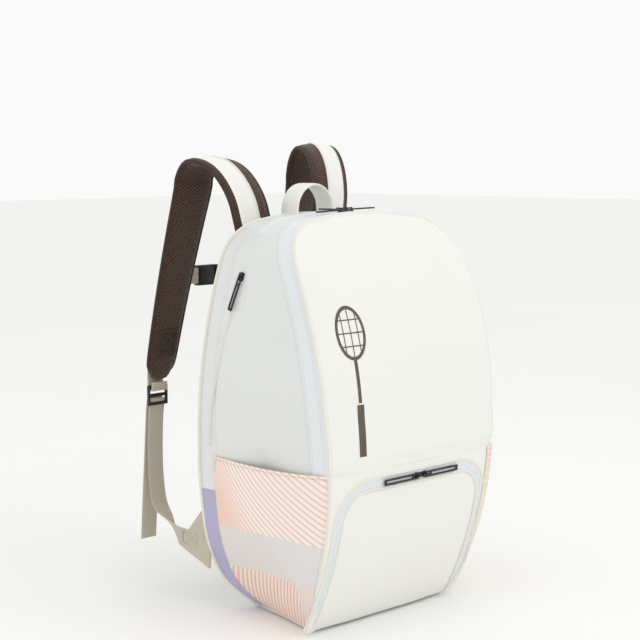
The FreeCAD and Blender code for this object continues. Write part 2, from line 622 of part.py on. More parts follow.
wall = mm("buckle_wall")
length = mm("buckle_length")
height = mm("buckle_width")
depth = mm("buckle_thickness")
prong = (height - 2 * wall) / 4
reach = length - 4 * wall
socket = side_box(0, 0, 0, length, depth, height)
hollow = side_box(length - reach - wall, 0, 0, reach + wall, depth - 2 * wall, height - 2 * wall)
socket = socket.cut(hollow)
socket = socket.cut(side_box(wall, 0, 0, wall, depth, height - 2 * wall))
node(form("socket", socket), "chest_buckle_socket")
gap = mm("play")
shoulder = side_box(length + gap, 0, 0, 2 * wall, depth, height)
lip = side_box(length + gap + 2 * wall, 0, 0, 4 * wall, depth, height)
lip = lip.cut(side_box(length + gap + 3 * wall, 0, 0, wall, depth, height - 2 * wall))
clip = shoulder.fuse(lip)
for side in (-1, 1):
    offset = side * (height / 2 - wall - gap - prong / 2)
    clip = clip.fuse(side_box(length - reach, 0, offset, reach + gap, depth - 2 * wall - 2 * gap, prong))
clip_end = length + gap + 6 * wall
chest_thick = mm("webbing")
web_offset = (chest_thick - depth) / 2
channel = side_box(length + gap, web_offset, 0, clip_end, chest_thick + 2 * gap, mm("chest_web") + 2 * gap)
node(form("clip", clip.cut(channel).removeSplitter()), "chest_buckle_clip")
left_edge = left_at[0] + left_at[3] / 2
right_edge = right_at[0] - right_at[3] / 2
left_web = side_box(left_edge - mm("chest_lap") - buckle_x, web_offset, 0,
                    buckle_x - left_edge + mm("chest_lap"), chest_thick, mm("chest_web"))
node(form("left_chest", left_web), "chest_webbing_left")
right_web = side_box(clip_end, web_offset, 0, right_edge + mm("chest_lap") - buckle_x - clip_end,
                     chest_thick, mm("chest_web"))
node(form("right_chest", right_web), "chest_webbing_right")

# ---------------------------------------------------------------- zip sliders and their pulls
document.recompute()
probe_length = 4 * mm("bag_height")


def probe(start, direction):
    """Point where a line from outside first meets the bag."""
    end = FreeCAD.Vector(*start) + FreeCAD.Vector(*direction) * probe_length
    hit = Part.makeLine(FreeCAD.Vector(*start), end).common(bag_solid.Shape)
    return min((vertex.Point for vertex in hit.Vertexes), key=lambda p: (p - FreeCAD.Vector(*start)).Length)


def seat(start, direction, along):
    """Frame on the bag's surface: x along the zip, z out of the cloth."""
    ahead = FreeCAD.Vector(*along)
    inward = FreeCAD.Vector(*direction)
    across = inward.cross(ahead)
    half = mm("slider_length") / 2
    here = probe(start, direction)
    front = probe(FreeCAD.Vector(*start) + ahead * half, direction)
    back = probe(FreeCAD.Vector(*start) - ahead * half, direction)
    one = probe(FreeCAD.Vector(*start) + across * half, direction)
    other = probe(FreeCAD.Vector(*start) - across * half, direction)
    x_axis = (front - back).normalize()
    z_axis = x_axis.cross(one - other).normalize()
    if z_axis.dot(inward) > 0:
        z_axis = -z_axis
    y_axis = z_axis.cross(x_axis)
    crown = max((here - point).dot(z_axis) * -1 for point in (front, back, one, other, here))
    place = here + z_axis * (max(crown, 0) + mm("play"))
    return FreeCAD.Placement(place, FreeCAD.Rotation(x_axis, y_axis, z_axis, "ZXY"))


def loops(body, name, role, outlines):
    """Sketch of closed outlines on a base plane, with both numbers of every corner tied to the sheet."""
    sketch = body.newObject("Sketcher::SketchObject", name)
    plane = [item for item in body.Origin.OriginFeatures if item.Role == role][0]
    sketch.AttachmentSupport = [(plane, "")]
    sketch.MapMode = "FlatFace"
    for corners in outlines:
        first = sketch.GeometryCount
        values = [[float(sketch.evalExpression(text)) for text in corner] for corner in corners]
        for index, (x, y) in enumerate(values):
            after = values[(index + 1) % len(values)]
            sketch.addGeometry(Part.LineSegment(FreeCAD.Vector(x, y, 0), FreeCAD.Vector(*after, 0)), False)
        for index, corner in enumerate(corners):
            edge = first + index
            before = first + (index - 1) % len(corners)
            sketch.addConstraint(Sketcher.Constraint("Coincident", before, 2, edge, 1))
            for kind, text, value in zip(("DistanceX", "DistanceY"), corner, values[index]):
                tie = sketch.addConstraint(Sketcher.Constraint(kind, edge, 1, value))
                sketch.setExpression(f"Constraints[{tie}]", text)
    return sketch


def pad(body, name, sketch, length, midplane):
    feature = body.newObject("PartDesign::Pad", name)
    feature.Profile = sketch
    feature.setExpression("Length", length)
    feature.Midplane = midplane
    return feature


def slider(name, place):
    """Die-cast slider: a six-sided plate with an arched bridge for the pull."""
    body = document.addObject("PartDesign::Body", name)
    half = "sizes.slider_length / 2"
    side = "sizes.slider_width / 2"
    plate = loops(body, name + "_plate", "XY_Plane", [[
        (half, side + " / 2"), ("sizes.slider_length / 4", side), (f"-{half}", side + " * 0.8"),
        (f"-{half}", f"-{side} * 0.8"), ("sizes.slider_length / 4", f"-{side}"), (half, f"-{side} / 2"),
    ]])
    pad(body, name + "_plate_pad", plate, "sizes.slider_plate", False)
    reach = "(sizes.bridge_half + sizes.bridge_post)"
    low = "sizes.slider_plate / 2"
    under = "(sizes.slider_plate + sizes.bridge_clear)"
    over = "(sizes.slider_plate + sizes.bridge_clear + sizes.bridge_cap)"
    bridge = loops(body, name + "_bridge", "XZ_Plane", [[
        (f"-{reach}", low), (f"-{reach}", over), (reach, over), (reach, low),
        ("sizes.bridge_half", low), ("sizes.bridge_half", under),
        ("-sizes.bridge_half", under), ("-sizes.bridge_half", low),
    ]])
    pad(body, name + "_bridge_pad", bridge, "sizes.bridge_width", True)
    body.Placement = place
    return node(body, name)


def pull(name, place, length):
    """Flat pull: an eye bar under the slider's bridge, a frame and a long cord loop."""
    body = document.addObject("PartDesign::Body", name)
    back = "-sizes.pull_eye_bar / 2"
    eye = "sizes.pull_eye_bar / 2"
    frame = "(sizes.bridge_half + sizes.bridge_post + 2 * sizes.pull_eye_bar)"
    loop_start = f"({frame} + 2 * sizes.pull_eye_bar)"
    loop_end = f"({length} - 2 * sizes.pull_eye_bar)"
    side = "sizes.pull_width / 2"
    gap = "sizes.pull_slot / 2"
    outlines = [
        [(back, f"-{side}"), (length, f"-{side}"), (length, side), (back, side)],
        [(eye, f"-{side} + sizes.pull_eye_bar"), (frame, f"-{side} + sizes.pull_eye_bar"),
         (frame, f"{side} - sizes.pull_eye_bar"), (eye, f"{side} - sizes.pull_eye_bar")],
        [(loop_start, f"-{gap}"), (loop_end, f"-{gap}"), (loop_end, gap), (loop_start, gap)],
    ]
    outline = loops(body, name + "_outline", "XY_Plane", outlines)
    pad(body, name + "_pad", outline, "sizes.pull_thickness", True)
    lift = mm("slider_plate") + mm("bridge_clear") / 2
    body.Placement = place.multiply(FreeCAD.Placement(FreeCAD.Vector(0, 0, lift), FreeCAD.Rotation()))
    return node(body, name)


apart = mm("slider_length") / 2 + 2 * mm("play")
high = 2 * mm("bag_height")
ahead_of_bag = -2 * mm("belly_depth")
beside_bag = -mm("bag_width")
slope = math.radians(mm("side_zip_slope"))
front_zip_y = mm("main_zip_inset") - mm("front_top_depth")
meeting = mm("pocket_zip_meeting")
top_meeting = mm("main_zip_meeting")
zip_height = mm("mouth_zip_height")
SEATS = {
    "main_left": ((top_meeting - apart, front_zip_y, high), (0, 0, -1), (-1, 0, 0), "main_pull"),
    "main_right": ((top_meeting + apart, front_zip_y, high), (0, 0, -1), (1, 0, 0), "main_pull"),
    "racket": ((mm("slot_start") - mm("slider_length"), mm("slot_depth"), high), (0, 0, -1), (-1, 0, 0),
               "racket_pull"),
    "pocket_left": ((meeting - apart, ahead_of_bag, zip_height), (0, 1, 0), (-1, 0, 0), "front_pull"),
    "pocket_right": ((meeting + apart, ahead_of_bag, zip_height), (0, 1, 0), (1, 0, 0), "front_pull"),
    "side": ((beside_bag, mm("side_zip_depth"), mm("bag_height") - mm("side_zip_drop")),
             (1, 0, 0), (0, math.sin(slope), -math.cos(slope)), "side_pull"),
}
seats = {}
for word, (start, direction, along, pull_length) in SEATS.items():
    seats[word] = seat(start, direction, along)
    slider(word + "_slider", seats[word])
    pull(word + "_pull", seats[word], "sizes." + pull_length)

# ---------------------------------------------------------------- check and export
document.recompute()
for item in document.Objects:
    if "Invalid" in item.State or "Error" in item.State:
        raise RuntimeError(f"{item.Name} failed: {item.State}")
os.makedirs("parts", exist_ok=True)
for part in nodes:
    shape = part.Shape
    if shape.isNull() or not shape.isValid() or not shape.Solids:
        raise RuntimeError(f"{part.Label} has no valid solid")
    shape.exportStep(f"parts/{part.Label}.step")
    box = shape.BoundBox
    print(f"{part.Label}: {len(shape.Solids)} solid(s), {shape.Volume / 1000:.1f} cm3, "
          f"x {box.XMin:.0f}..{box.XMax:.0f}, y {box.YMin:.0f}..{box.YMax:.0f}, z {box.ZMin:.0f}..{box.ZMax:.0f}")
print(len(nodes), "sub-parts")
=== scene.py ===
# %% [markdown]
# # A racket backpack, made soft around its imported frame
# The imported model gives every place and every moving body. Each cell makes one real piece of the bag, says what it
# is, and hangs it on the body that it moves with. Lengths are in metres.
import json
from math import cos, floor, pi, radians, sin, sqrt

import bpy
import bmesh
from mathutils import Matrix, Quaternion, Vector, noise
from mathutils.bvhtree import BVHTree
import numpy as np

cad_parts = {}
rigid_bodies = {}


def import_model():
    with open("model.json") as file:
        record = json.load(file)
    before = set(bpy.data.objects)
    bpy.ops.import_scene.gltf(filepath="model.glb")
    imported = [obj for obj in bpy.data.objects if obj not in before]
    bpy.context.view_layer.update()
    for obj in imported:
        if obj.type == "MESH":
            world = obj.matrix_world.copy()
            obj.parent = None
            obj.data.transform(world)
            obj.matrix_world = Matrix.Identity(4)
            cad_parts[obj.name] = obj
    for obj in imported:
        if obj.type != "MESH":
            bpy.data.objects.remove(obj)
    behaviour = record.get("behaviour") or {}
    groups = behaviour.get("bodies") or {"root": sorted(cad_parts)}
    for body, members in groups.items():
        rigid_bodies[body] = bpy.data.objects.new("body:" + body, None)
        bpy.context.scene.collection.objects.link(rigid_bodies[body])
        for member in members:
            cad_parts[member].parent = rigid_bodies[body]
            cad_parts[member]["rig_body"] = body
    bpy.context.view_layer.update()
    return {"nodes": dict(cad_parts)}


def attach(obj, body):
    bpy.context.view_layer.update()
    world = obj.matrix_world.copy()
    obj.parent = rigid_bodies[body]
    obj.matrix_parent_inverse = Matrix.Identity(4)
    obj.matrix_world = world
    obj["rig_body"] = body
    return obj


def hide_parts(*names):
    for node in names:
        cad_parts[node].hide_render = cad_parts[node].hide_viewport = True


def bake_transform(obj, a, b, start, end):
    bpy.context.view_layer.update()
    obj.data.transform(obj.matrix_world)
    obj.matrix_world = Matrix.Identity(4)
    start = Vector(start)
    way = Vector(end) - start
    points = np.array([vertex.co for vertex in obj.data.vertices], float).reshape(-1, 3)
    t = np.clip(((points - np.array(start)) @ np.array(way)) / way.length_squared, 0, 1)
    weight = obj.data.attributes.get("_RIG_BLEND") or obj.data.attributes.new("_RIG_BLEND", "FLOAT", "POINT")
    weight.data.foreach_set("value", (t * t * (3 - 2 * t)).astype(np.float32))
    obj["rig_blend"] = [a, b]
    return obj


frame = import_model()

scene = bpy.context.scene
MM = 0.001

# %% [markdown]
# ## The studio
# A plain pale floor, a bright even sky and one large soft lamp to the front right. The front of the bag then reads a
# little brighter than its side, also because the side cloth's colour is painted a little darker as painted shade. The
# camera stands low at the front left, with a long lens that keeps edges parallel.

# %% camera
camera_data = bpy.data.cameras.new("camera")
camera_data.lens = 91.5
camera_data.sensor_width = 36
camera = bpy.data.objects.new("camera", camera_data)
camera.location = (-1.4537, -1.3586, 0.5687)
sight = Vector((-0.0303, 0.0267, 0.3602)) - camera.location
roll = Quaternion((0, 0, 1), radians(-0.215))
camera.rotation_mode = "QUATERNION"
camera.rotation_quaternion = sight.to_track_quat("-Z", "Y") @ roll
scene.collection.objects.link(camera)
scene.camera = camera
print("camera is", round(sight.length, 3), "m away")


# %% node helper
def put(tree, kind, inputs=None, **settings):
    """Adds a node with its settings, and sets or links its inputs."""
    made = tree.nodes.new(kind)
    for key, value in settings.items():
        setattr(made, key, value)
    for key, value in (inputs or {}).items():
        if isinstance(value, bpy.types.NodeSocket):
            tree.links.new(value, made.inputs[key])
        else:
            made.inputs[key].default_value = value
    return made


def linear(code):
    """An sRGB hex colour as linear red, green, blue and alpha."""
    parts = [int(code[k:k + 2], 16) / 255 for k in (1, 3, 5)]
    return [c / 12.92 if c <= 0.04045 else ((c + 0.055) / 1.055) ** 2.4 for c in parts] + [1.0]


def maths(tree, operation, *values):
    """One step of arithmetic on node values."""
    return put(tree, "ShaderNodeMath", dict(enumerate(values)), operation=operation).outputs[0]


def blend_colours(tree, share, first, second):
    """A colour between two, by a share from 0 to 1."""
    mixed = put(tree, "ShaderNodeMix", {0: share, 6: first, 7: second}, data_type="RGBA")
    return mixed.outputs[2]


def begin(name, **shader):
    """A new material with its shader: numbers go on the shader's own sockets."""
    material = bpy.data.materials.new(name)
    material.use_nodes = True
    tree = material.node_tree
    tree.nodes.clear()
    sockets = {key.replace("_", " "): value for key, value in shader.items()}
    surface = put(tree, "ShaderNodeBsdfPrincipled", sockets)
    put(tree, "ShaderNodeOutputMaterial", {"Surface": surface.outputs[0]})
    return material, tree, surface


def roughened(tree, surface, height, strength, distance):
    """Feeds a height to the shader's normal as bump."""
    bump = put(tree, "ShaderNodeBump", {"Height": height, "Strength": strength, "Distance": distance})
    tree.links.new(bump.outputs[0], surface.inputs["Normal"])


# %% sky, lamps and floor
world = bpy.data.worlds.new("studio")
world.use_nodes = True
world.node_tree.nodes["Background"].inputs["Color"].default_value = linear("#FFFFFF")
world.node_tree.nodes["Background"].inputs["Strength"].default_value = 0.95
scene.world = world
scene.view_settings.view_transform = "Standard"


def lamp(name, place, power, size):
    """A square soft box that looks at the middle of the bag."""
    light = bpy.data.lights.new(name, "AREA")
    light.energy = power
    light.size = size
    holder = bpy.data.objects.new(name, light)
    holder.location = place
    holder.rotation_mode = "QUATERNION"
    holder.rotation_quaternion = (Vector((0, 0, 0.25)) - holder.location).to_track_quat("-Z", "Y")
    scene.collection.objects.link(holder)


lamp("key_lamp", (0.6, -2.4, 1.5), 6, 1.2)
lamp("top_lamp", (-0.4, -0.3, 2.4), 4.5, 1.5)

floor_paint, tree, surface = begin("studio_floor_paint", Roughness=0.9)
grain = put(tree, "ShaderNodeTexNoise", {"Scale": 30.0, "Detail": 3.0})
tint = blend_colours(tree, grain.outputs["Fac"], linear("#F4F4F2"), linear("#FAFAF8"))
tree.links.new(tint, surface.inputs["Base Color"])
shape = bmesh.new()
bmesh.ops.create_grid(shape, x_segments=2, y_segments=2, size=14)
bmesh.ops.translate(shape, vec=(0, 0, -0.3 * MM), verts=shape.verts[:])
mesh = bpy.data.meshes.new("studio_floor")
shape.to_mesh(mesh)
shape.free()
studio_floor = bpy.data.objects.new("studio_floor", mesh)
mesh.materials.append(floor_paint)
scene.collection.objects.link(studio_floor)

# %% [markdown]
# ## The cloths
# Most of the bag is polyester cloth with a smooth polyurethane coat. A coat like that hides the threads, so the eye
# gets a satin white with a faint pebble and a row of stitches beside each seam. Every sewn piece carries two numbers
# at each point: how far it is from the seam, and how far along the seam. The stitches are drawn from those.

# %% stitches and cloth grain
STITCH_INSET = 3.0 * MM
STITCH_WIDTH = 0.9 * MM
STITCH_PITCH = 4.2 * MM
STITCH_SHARE = 0.68


def stitch_row(tree):
    """1 on the thread of a row of lock stitches beside the seam, 0 off it."""
    edge = put(tree, "ShaderNodeAttribute", attribute_name="edge").outputs["Fac"]
    run = put(tree, "ShaderNodeAttribute", attribute_name="run").outputs["Fac"]
    off_line = maths(tree, "ABSOLUTE", maths(tree, "SUBTRACT", edge, STITCH_INSET))
    on_line = maths(tree, "LESS_THAN", off_line, STITCH_WIDTH / 2)
    phase = maths(tree, "FRACT", maths(tree, "DIVIDE", run, STITCH_PITCH))
    on_thread = maths(tree, "LESS_THAN", phase, STITCH_SHARE)
    return maths(tree, "MULTIPLY", on_line, on_thread)


def coated_cloth(name, colour, shade, roughness, colour_of=None):
    """Polyurethane-coated polyester: a fine pebble of about 1.5 mm, slow changes of tone, and stitches."""
    material, tree, surface = begin(name, Roughness=roughness, Sheen_Weight=0.08)
    place = put(tree, "ShaderNodeTexCoord").outputs["Object"]
    pebble = put(tree, "ShaderNodeTexVoronoi", {"Vector": place, "Scale": 1 / (1.5 * MM)})
    drift = put(tree, "ShaderNodeTexNoise", {"Vector": place, "Scale": 14.0, "Detail": 4.0})
    base = colour_of(tree, place) if colour_of else linear(colour)
    toned = blend_colours(tree, maths(tree, "MULTIPLY", drift.outputs["Fac"], 0.35), base, linear(shade))
    thread = stitch_row(tree)
    stitched = blend_colours(tree, maths(tree, "MULTIPLY", thread, 0.45), toned, linear("#B9B7B0"))
    tree.links.new(stitched, surface.inputs["Base Color"])
    height = maths(tree, "ADD", maths(tree, "MULTIPLY", pebble.outputs["Distance"], 0.25),
                   maths(tree, "MULTIPLY", thread, 1.0))
    roughened(tree, surface, height, 0.35, 0.3 * MM)
    return material


FRONT_CLOTH = coated_cloth("pu_coated_polyester_cream", "#EFEFEA", "#E6E5DF", 0.46)
# The cool white is darker than the front cloth. Part of that is the cloth's own cooler colour and part is painted
# shade for the sides, which face away from the key lamp.
SIDE_CLOTH = coated_cloth("pu_coated_polyester_cool_white_and_painted_shade", "#E4E6E4", "#D9DCDB", 0.52)
LINING = coated_cloth("plain_polyester_lining", "#C9C7C2", "#B9B7B2", 0.75)
BINDING = coated_cloth("folded_binding_tape", "#ECE8DC", "#DDD8C9", 0.6)
TAPE = coated_cloth("coated_zip_tape", "#E6EBED", "#DBE1E4", 0.42)
FOAM = coated_cloth("closed_cell_foam", "#D8D6D0", "#CBC9C2", 0.85)


# %% lavender at the foot of the rear seam
LAVENDER_TOP = 0.157


def lavender_foot(tree, place):
    height = put(tree, "ShaderNodeSeparateXYZ", {0: place}).outputs[2]
    # Above the lavender the gusset takes the side cloth's grey-white, which is darkened in part as painted shade.
    return blend_colours(tree, maths(tree, "LESS_THAN", height, LAVENDER_TOP), linear("#E4E6E4"), linear("#ABA4CB"))


GUSSET_CLOTH = coated_cloth("pu_coated_polyester_two_tone", "#E4E6E4", "#D5D7D8", 0.52, lavender_foot)


# %% [markdown]
# ## The printed side pockets
# The side pockets are woven cloth with a sublimation print. Slanted pink stripes fan out over the upper half, a
# quiet grey block lies below, and short coral stripes run near the floor. The stripes are level lines of a height
# that is bent by a cubic, so they are steep at the back and flatten towards the front, 7.9 mm from one to the next.

# %% printed cloth
STRIPE_PITCH = 7.9 * MM


def slanting(tree, y, z, front_slope, extra_slope):
    """A height whose level lines fall towards the front, more steeply at the back."""
    along = maths(tree, "ADD", y, 0.095)
    cubed = maths(tree, "POWER", maths(tree, "MAXIMUM", along, 0.0), 3.0)
    bent = maths(tree, "MULTIPLY", cubed, extra_slope / (3 * 0.18 ** 2))
    return maths(tree, "SUBTRACT", z, maths(tree, "ADD", maths(tree, "MULTIPLY", along, front_slope), bent))


def bars(tree, height, pitch, share):
    """Soft-edged stripes: 1 inside a bar."""
    phase = maths(tree, "PINGPONG", height, pitch / 2)
    scaled = maths(tree, "DIVIDE", maths(tree, "SUBTRACT", phase, pitch / 2 * (1 - share)), pitch * 0.08)
    return put(tree, "ShaderNodeClamp", {"Value": scaled}).outputs[0]


def left_print(tree, place):
    axes = put(tree, "ShaderNodeSeparateXYZ", {0: place})
    y, z = axes.outputs[1], axes.outputs[2]
    level = slanting(tree, y, z, 0.40, 1.15)
    upper = bars(tree, level, STRIPE_PITCH, 0.42)
    rear_line = maths(tree, "SUBTRACT", y, maths(tree, "MULTIPLY", maths(tree, "SUBTRACT", z, 0.114), 0.58))
    rear = put(tree, "ShaderNodeMapRange", {"Value": rear_line, "From Min": 0.018, "From Max": 0.062}).outputs[0]
    ground = blend_colours(tree, rear, linear("#FCF1E8"), linear("#F6D8C6"))
    stripe = blend_colours(tree, rear, linear("#EBC4B2"), linear("#F0B7A0"))
    top = blend_colours(tree, upper, ground, stripe)
    fine = bars(tree, slanting(tree, y, z, 1.2, 0.9), 4.4 * MM, 0.35)
    fine_zone = maths(tree, "GREATER_THAN", maths(tree, "SUBTRACT", y, maths(tree, "MULTIPLY", z, 0.86)), -0.086)
    fine_part = maths(tree, "MULTIPLY", maths(tree, "MULTIPLY", fine, fine_zone), 0.75)
    block = blend_colours(tree, fine_part, linear("#DEDDDD"), linear("#EBC9C0"))
    low_level = slanting(tree, y, z, -2.6, 1.0)
    short = bars(tree, low_level, 15.0 * MM, 0.45)
    low_front = maths(tree, "LESS_THAN", y, -0.037)
    low_ground = blend_colours(tree, low_front, linear("#F5E2D8"), linear("#E6DEDC"))
    low_stripe = blend_colours(tree, low_front, linear("#E2A78D"), linear("#EBCFC6"))
    low = blend_colours(tree, short, low_ground, low_stripe)
    bottom = blend_colours(tree, maths(tree, "LESS_THAN", z, 0.063), block, low)
    return blend_colours(tree, maths(tree, "GREATER_THAN", z, 0.114), bottom, top)


def right_print(tree, place):
    axes = put(tree, "ShaderNodeSeparateXYZ", {0: place})
    y, z = axes.outputs[1], axes.outputs[2]
    tan_bars = bars(tree, slanting(tree, y, z, 0.5, 0.9), 11.0 * MM, 0.5)
    tan = blend_colours(tree, tan_bars, linear("#EFDFC6"), linear("#E8D3B4"))
    pink_bars = bars(tree, slanting(tree, y, z, 0.9, 0.6), STRIPE_PITCH, 0.45)
    pink = blend_colours(tree, pink_bars, linear("#F7DCD0"), linear("#EFBFAE"))
    return blend_colours(tree, maths(tree, "GREATER_THAN", z, 0.168), tan, pink)


LEFT_PRINT = coated_cloth("printed_polyester_left", "#F7E6DC", "#EFE3DC", 0.6, left_print)
RIGHT_PRINT = coated_cloth("printed_polyester_right", "#F7E6DC", "#EFE3DC", 0.6, right_print)


# %% [markdown]
# ## Mesh, webbing and moulded parts
# Spacer mesh is a knitted pad with rows of round holes, 4.4 mm apart and staggered, so two lattices of dots are
# laid over each other. Webbing is woven in ribs across its length. Buckles are acetal, moulded and slightly satin,
# and the sliders are die-cast zinc under black enamel, which is glossier.

# %% mesh and webbing
HOLE_PITCH = 4.4 * MM
RIB_PITCH = 2.2 * MM


def spacer_mesh(name, thread, hole_shade):
    material, tree, surface = begin(name, Roughness=0.85, Sheen_Weight=0.25)
    flat = put(tree, "ShaderNodeUVMap", uv_map="UVMap").outputs[0]
    dots = []
    for shift in (0.0, 0.5):
        mapped_to = put(tree, "ShaderNodeMapping", {"Vector": flat, "Location": (shift, shift, 0),
                        "Scale": (1 / HOLE_PITCH, 1 / (HOLE_PITCH * sqrt(3)), 0)})
        dot = put(tree, "ShaderNodeTexVoronoi", {"Vector": mapped_to.outputs[0], "Scale": 1.0, "Randomness": 0.0},
                  voronoi_dimensions="2D")
        dots.append(dot.outputs["Distance"])
    near = maths(tree, "MINIMUM", *dots)
    holes = put(tree, "ShaderNodeMapRange", {"Value": near, "From Min": 0.16, "From Max": 0.3}).outputs[0]
    fuzz = put(tree, "ShaderNodeTexNoise", {"Vector": flat, "Scale": 900.0, "Detail": 2.0})
    yarn = blend_colours(tree, fuzz.outputs["Fac"], linear(thread), linear("#5E3D28"))
    # The holes are painted a near-black brown, as painted shade in the hollows of the knit.
    tree.links.new(blend_colours(tree, holes, linear(hole_shade), yarn), surface.inputs["Base Color"])
    roughened(tree, surface, holes, 0.8, 0.8 * MM)
    return material


def webbing_weave(name, colour, shade):
    material, tree, surface = begin(name, Roughness=0.78, Sheen_Weight=0.15)
    flat = put(tree, "ShaderNodeSeparateXYZ", {0: put(tree, "ShaderNodeUVMap", uv_map="UVMap").outputs[0]})
    slant = maths(tree, "ADD", flat.outputs[0], maths(tree, "PINGPONG", flat.outputs[1], 3.1 * MM))
    rib = maths(tree, "SINE", maths(tree, "MULTIPLY", slant, 2 * pi / RIB_PITCH))
    share = maths(tree, "MULTIPLY_ADD", rib, 0.5, 0.5)
    # The troughs between the ribs take the darker colour, as painted shade in the weave's grooves.
    tree.links.new(blend_colours(tree, share, linear(shade), linear(colour)), surface.inputs["Base Color"])
    roughened(tree, surface, share, 0.6, 0.5 * MM)
    return material


# The second colour is painted shade for the holes, not a yarn colour.
BROWN_MESH = spacer_mesh("polyester_spacer_mesh_brown", "#452B1A", "#170D07")
# Each webbing's second colour is the painted shade between its ribs.
WEBBING = webbing_weave("polypropylene_webbing_beige", "#D6CEBD", "#B9AF9C")
DARK_WEB = webbing_weave("polypropylene_webbing_brown", "#4A3325", "#2C1C13")


# %% moulded and enamelled parts
def hard_part(name, colour, roughness, grain_size, metallic=0.0):
    """A moulded or enamelled part: a fine even grain that breaks up its shine."""
    material, tree, surface = begin(name, Metallic=metallic)
    place = put(tree, "ShaderNodeTexCoord").outputs["Object"]
    speck = put(tree, "ShaderNodeTexNoise", {"Vector": place, "Scale": 1 / grain_size, "Detail": 2.0})
    tone = blend_colours(tree, maths(tree, "MULTIPLY", speck.outputs["Fac"], 0.3), linear(colour), linear("#4A4A4C"))
    tree.links.new(tone, surface.inputs["Base Color"])
    worn = put(tree, "ShaderNodeMapRange", {"Value": speck.outputs["Fac"], "To Min": roughness - 0.06,
                                            "To Max": roughness + 0.08}).outputs[0]
    tree.links.new(worn, surface.inputs["Roughness"])
    roughened(tree, surface, speck.outputs["Fac"], 0.15, 0.1 * MM)
    return material


ACETAL = hard_part("acetal_black", "#1D1E20", 0.42, 0.6 * MM)
ENAMEL = hard_part("enamelled_zinc_black", "#101011", 0.26, 0.8 * MM)
CORD_GRIP = hard_part("thermoplastic_rubber_black", "#151515", 0.55, 0.5 * MM)
BOARD = hard_part("polyethylene_board", "#3A3A3C", 0.6, 1.0 * MM)
INK = hard_part("screen_ink_olive", "#5C4F3A", 0.5, 1.2 * MM)
THREAD = coated_cloth("bonded_polyester_thread", "#D9D5C8", "#C4BFB0", 0.7)
DARK_THREAD = coated_cloth("bonded_polyester_thread_brown", "#3B291E", "#2E2018", 0.7)

# %% [markdown]
# ## Where the cloth runs
# The frame has the right outside but flat, hard panels. To lay soft cloth on it, rays are sent at the frame from
# outside, and where they land gives the shell's depth at each height and its width at each depth. Front and back are
# the same right across the bag, so one list of depths each is enough.

# %% rays at the frame
FAR = 0.6
STEP = 2 * MM
LOWEST_RAY = 0.003


def survey(*names):
    """A search tree over CAD nodes, for finding their outside."""
    shape = bmesh.new()
    for name in names:
        shape.from_mesh(frame["nodes"][name].data)
    found = BVHTree.FromBMesh(shape)
    shape.free()
    return found


def depths(seen, side, columns, top):
    """Depth of the outside every 2 mm of height, seen from the front (side -1) or the back (side 1)."""
    rows = []
    for k in range(int(top / STEP)):
        z = LOWEST_RAY + k * STEP
        hits = [seen.ray_cast(Vector((x, side * FAR, z)), Vector((0, -side, 0)))[0] for x in columns]
        reached = [side * hit.y for hit in hits if hit]
        rows.append(side * max(reached) if reached else 2 * rows[-1] - rows[-2])
    return [(rows[max(k - 1, 0)] + rows[k] + rows[min(k + 1, len(rows) - 1)]) / 3 for k in range(len(rows))]


def depth_at(rows, z):
    """Depth of the outside at any height, between the two nearest rows."""
    place = min(max((z - LOWEST_RAY) / STEP, 0), len(rows) - 1.001)
    k = floor(place)
    return rows[k] + (rows[k + 1] - rows[k]) * (place - k)


front_rows = depths(survey("front_panel", "pocket_panel", "pocket_zip_tape", "pocket_flap"), -1,
                    (0, 0.03, 0.06, 0.1, 0.128, 0.138), 0.496)
back_rows = depths(survey("back_panel"), 1, (0, 0.02, 0.04), 0.49)
print("front", [round(depth_at(front_rows, z), 3) for z in (0.01, 0.1, 0.26, 0.4, 0.49)])
print("back", [round(depth_at(back_rows, z), 3) for z in (0.01, 0.1, 0.26, 0.4, 0.48)])

# %% the arch over the bag
SHELL = survey("left_side_panel", "main_zip_tape", "left_front_binding", "left_rear_gusset", "racket_zip_tape",
               "top_panel")
SKIRT = survey("left_side_pocket")
COVERED = survey("left_side_panel", "main_zip_tape", "left_rear_gusset", "racket_zip_tape", "top_panel",
                 "left_side_pocket", "left_front_binding", "front_panel", "pocket_panel", "back_panel")
WAIST = 0.3
FOOT = 4 * MM
NUDGE = 1.3 * MM


def arch(q, y, seen):
    """Point of the left outside at depth y: q runs from the foot (0), up the side, to the top's middle (1)."""
    aim = Vector((0, y, FOOT + (WAIST - FOOT) * 2 * min(q, 0.5)))
    turn = pi * max(q - 0.5, 0)
    way = Vector((-cos(turn), 0, sin(turn)))
    best = 0.0
    for reach in (0.0, NUDGE, 3 * NUDGE, 6 * NUDGE):
        for slip in (-reach, reach):
            hit = seen.ray_cast(aim + way * FAR + Vector((0, slip, 0)), -way)[0]
            if hit:
                best = max(best, (hit - aim).dot(way))
        if best and reach:
            break
    return aim + way * best


SEAM_STEPS = 160


def seam(rows, shift, outer_limit):
    """Depth of a seam at each step of the arch, found by halving between the middle and beyond the face."""
    found = []
    for k in range(SEAM_STEPS + 1):
        inner, outer = 0.03, outer_limit
        for _ in range(24):
            y = (inner + outer) / 2
            surface_y = depth_at(rows, arch(k / SEAM_STEPS, y, COVERED).z)
            beyond = (y - surface_y - shift) * (1 if outer > 0 else -1)
            inner, outer = (inner, y) if beyond > 0 else (y, outer)
        found.append(y)
    smooth = found[:]
    for k in range(2, SEAM_STEPS - 1):
        smooth[k] = sum(found[k - 2:k + 3]) / 5
    return smooth


def along(found, q):
    """Depth of a seam at any q, between its two nearest steps."""
    place = min(max(q, 0), 0.99999) * SEAM_STEPS
    k = floor(place)
    return found[k] + (found[k + 1] - found[k]) * (place - k)


